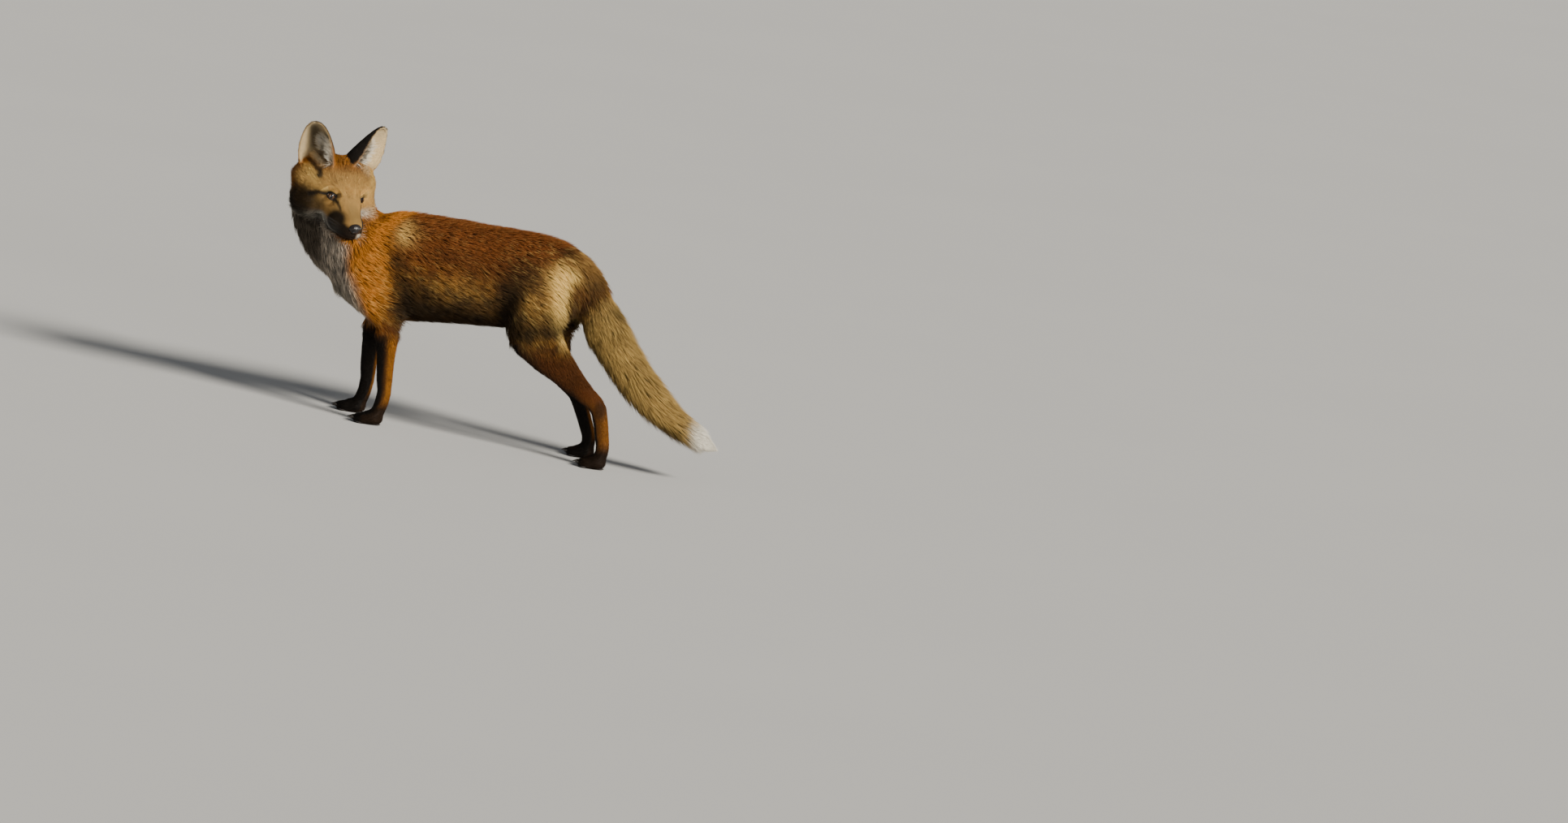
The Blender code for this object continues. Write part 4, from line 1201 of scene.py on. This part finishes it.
horn, shader, wire = new_material("claw_horn", Roughness=0.55)
streaks = wire.noise(700.0, 2.0).between(0.35, 0.7)
connect(wire, shader, Base_Color=streaks.mixed(rgb(0.010, 0.008, 0.007), rgb(0.034, 0.026, 0.020)))
starts, toes, sizes = zip(*toe_places(CLAW_REACH, CLAW_PITCH, CLAW_HEIGHT))
aims = [(CLAW_SPLAY * toe, -1, -CLAW_FALL) for toe in toes]
claws = grow(
    "claws", starts, aims, sizes, spikes, Length=CLAW_LENGTH, Thickness=CLAW_THICKNESS,
    Bend=0.16, Fullness=2.2, Sides=10, Unevenness=0.06, Seed=3, Finish=horn)
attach(claws, "root")

# ---------------------------------------------------------------- pads
# Each foot stands on five cushions of tough grey-black hide: one under each toe and a broad one
# behind them. Each bulges a little below the skin of the sole.
PAD_WIDTH, PAD_DEPTH, PAD_HEIGHT = 0.0046, 0.0066, 0.0016  # half sizes
PAD_OFF_FLOOR = 0.0004
PAD_REACH = (0.0260, 0.0190)  # ahead of the foot's middle, under the inner toes and the outer ones
BROAD_PAD, BROAD_PAD_BACK = 1.75, 0.001  # the broad pad's size against a toe's, and its place


def pad_tree():
    """A node tree that sets a flattened cushion at each point of a mesh, scaled by its `size`."""
    tree, given = new_tree("cushions", {"Width": "Float", "Depth": "Float", "Height": "Float"})
    wire = given["Width"]
    globe = wire.node("GeometryNodeMeshUVSphere", {"Segments": 18, "Rings": 10, "Radius": 1.0})
    flat = wire.node("ShaderNodeCombineXYZ", {0: given["Width"], 1: given["Depth"], 2: given["Height"]})
    cushion = wire.node("GeometryNodeTransform", {"Geometry": globe, "Scale": flat})
    size = wire.node("GeometryNodeInputNamedAttribute", {"Name": "size"}, data_type="FLOAT")
    close_tree(tree, given, cushion, Scale=wire.node("ShaderNodeCombineXYZ", {0: size, 1: size, 2: 1.0}))
    return tree


tough, shader, wire = new_material("pad_leather", Roughness=0.7)
tone = patchy(wire, 260.0, (0.018, 0.015, 0.014), (0.045, 0.036, 0.032))
connect(wire, shader, Base_Color=tone, Normal=pebbled(wire, 1300.0))
middle = PAD_OFF_FLOOR + PAD_HEIGHT
starts, _, sizes = map(list, zip(*toe_places(PAD_REACH, TOE_PITCH, middle)))
for side, foot_y, size in FEET.values():
    starts.append(datum + (side * FOOT_OUT, foot_y + BROAD_PAD_BACK, middle))
    sizes.append(BROAD_PAD * size)
aims = np.tile((0.0, -1.0, 0.0), (len(starts), 1))
pads = grow(
    "pads", starts, aims, sizes, pad_tree(),
    Width=PAD_WIDTH, Depth=PAD_DEPTH, Height=PAD_HEIGHT, Finish=tough)
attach(pads, "root")

# ---------------------------------------------------------------- whiskers
# Stiff black bristles in four rows on each side of the muzzle, and two over each eye. Each grows out
# of the skin and bends back and down towards a fine tip.
WHISKER_THICKNESS, WHISKER_LENGTH = 0.00022, 0.035  # of a middling one
WHISKER_ROWS, WHISKERS_IN_ROW, BROW_BRISTLES = 4, 5, 2
bristle, shader, wire = new_material("whisker_black", Roughness=0.70)
tone = wire.noise(400.0).mixed(rgb(0.006, 0.005, 0.005), rgb(0.020, 0.016, 0.014))
connect(wire, shader, Base_Color=tone)
face = to_head(sunk)
starts, aims, sizes = [], [], []
for side in (LEFT, RIGHT):
    beds = [  # forward, up, length and lift
        (0.079 - 0.0050 * place - 0.0012 * row, -0.0215 - 0.0036 * row, 0.020 + 0.0050 * place, -0.10 * row)
        for row in range(WHISKER_ROWS) for place in range(WHISKERS_IN_ROW)]
    beds += [(0.031 - 0.006 * place, 0.0125, 0.018 + 0.004 * place, 0.9) for place in range(BROW_BRISTLES)]
    for ahead, high, size, lift in beds:
        miss = np.hypot(face[:, 0] - ahead, face[:, 2] - high) + np.where(face[:, 1] * side > 0.004, 0, 1)
        starts.append(sunk[np.argmin(miss)])
        aims.append(head_matrix[:3, :3] @ (-0.45, side, lift + 0.05))
        sizes.append(size)
whiskers = grow(
    "whiskers", starts, aims, sizes, spikes, Length=1.0, Thickness=WHISKER_THICKNESS / WHISKER_LENGTH,
    Bend=0.10, Fullness=1.0, Sides=5, Unevenness=0.15, Seed=7, Finish=bristle)
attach(whiskers, "root")

# ---------------------------------------------------------------- floor, light and camera
# A plain pale floor, one broad light from the fox's rear left, a faint one beside the camera and an
# eye light, which falls on the eyes alone. The camera stands far off, a little above the fox, and
# leans so that the fox stands uphill.
VIEW_TURN, VIEW_DROP, VIEW_LEAN = math.radians(15), math.radians(8), math.radians(9)
VIEW_DISTANCE, VIEW_LENS, SENSOR = 12.0, 170.0, 36.0
VIEW_WIDTH = SENSOR / VIEW_LENS * VIEW_DISTANCE  # metres across the view at that distance
AIM = np.array((0.045, 0.20, 0)) + datum  # a point of the floor by the hind foot...
AIM_RIGHT, AIM_UP = -0.1168, -0.0374  # ...and its place in the view, in widths from the middle


def lamp(name, towards, strength, softness, colour):
    """A broad, even light that shines in one direction. softness is how wide it looks, in degrees."""
    light = bpy.data.lights.new(name, "SUN")
    light.energy, light.angle, light.color = strength, math.radians(softness), colour
    obj = put(name, light)
    obj.rotation_euler = Vector(towards).to_track_quat("-Z", "Y").to_euler()
    return obj


view = -Vector((math.cos(VIEW_TURN), math.sin(VIEW_TURN), math.tan(VIEW_DROP))).normalized()
level = view.cross(Vector((0, 0, 1))).normalized()
upright = level.cross(view)
right = level * math.cos(VIEW_LEAN) + upright * math.sin(VIEW_LEAN)
above = right.cross(view)
camera = put("camera", bpy.data.cameras.new("camera"))
camera.data.sensor_width, camera.data.lens = SENSOR, VIEW_LENS
camera.data.clip_end = 100
place = Vector(AIM) - view * VIEW_DISTANCE - (right * AIM_RIGHT + above * AIM_UP) * VIEW_WIDTH
turn = Matrix((right, above, -view)).transposed().to_4x4()
camera.matrix_world = Matrix.Translation(place) @ turn
bpy.context.scene.camera = camera

lamp("key", level * -0.64 + view * 0.60 - Vector((0, 0, 0.45)), 5.8, 15, (1.0, 0.94, 0.84))
lamp("front", level * -0.42 + view * 0.90, 0.60, 11, (1.0, 0.97, 0.92))
eye_light = lamp("eye_light", level * 0.41 + view * 0.91, 2.6, 30, (1.0, 0.97, 0.92))
eye_light.light_linking.receiver_collection = bpy.data.collections.new("lit_eyes")
for name in ("eyeball_left", "eyeball_right"):
    eye_light.light_linking.receiver_collection.objects.link(bpy.data.objects[name])

world = bpy.data.worlds.new("studio")
world.use_nodes = True
background = world.node_tree.nodes["Background"]
background.inputs["Color"].default_value = rgb(0.86, 0.90, 0.95)
background.inputs["Strength"].default_value = 0.18
bpy.context.scene.world = world

floor = add_mesh("floor", [(-40, -40, 0), (40, -40, 0), (40, 40, 0), (-40, 40, 0)], [(0, 1, 2, 3)])
matt, shader, wire = new_material("pale_floor", Roughness=0.9)
tone = wire.noise(1.5).mixed(rgb(0.56, 0.56, 0.55), rgb(0.59, 0.59, 0.58))
connect(wire, shader, Base_Color=tone)
floor.data.materials.append(matt)
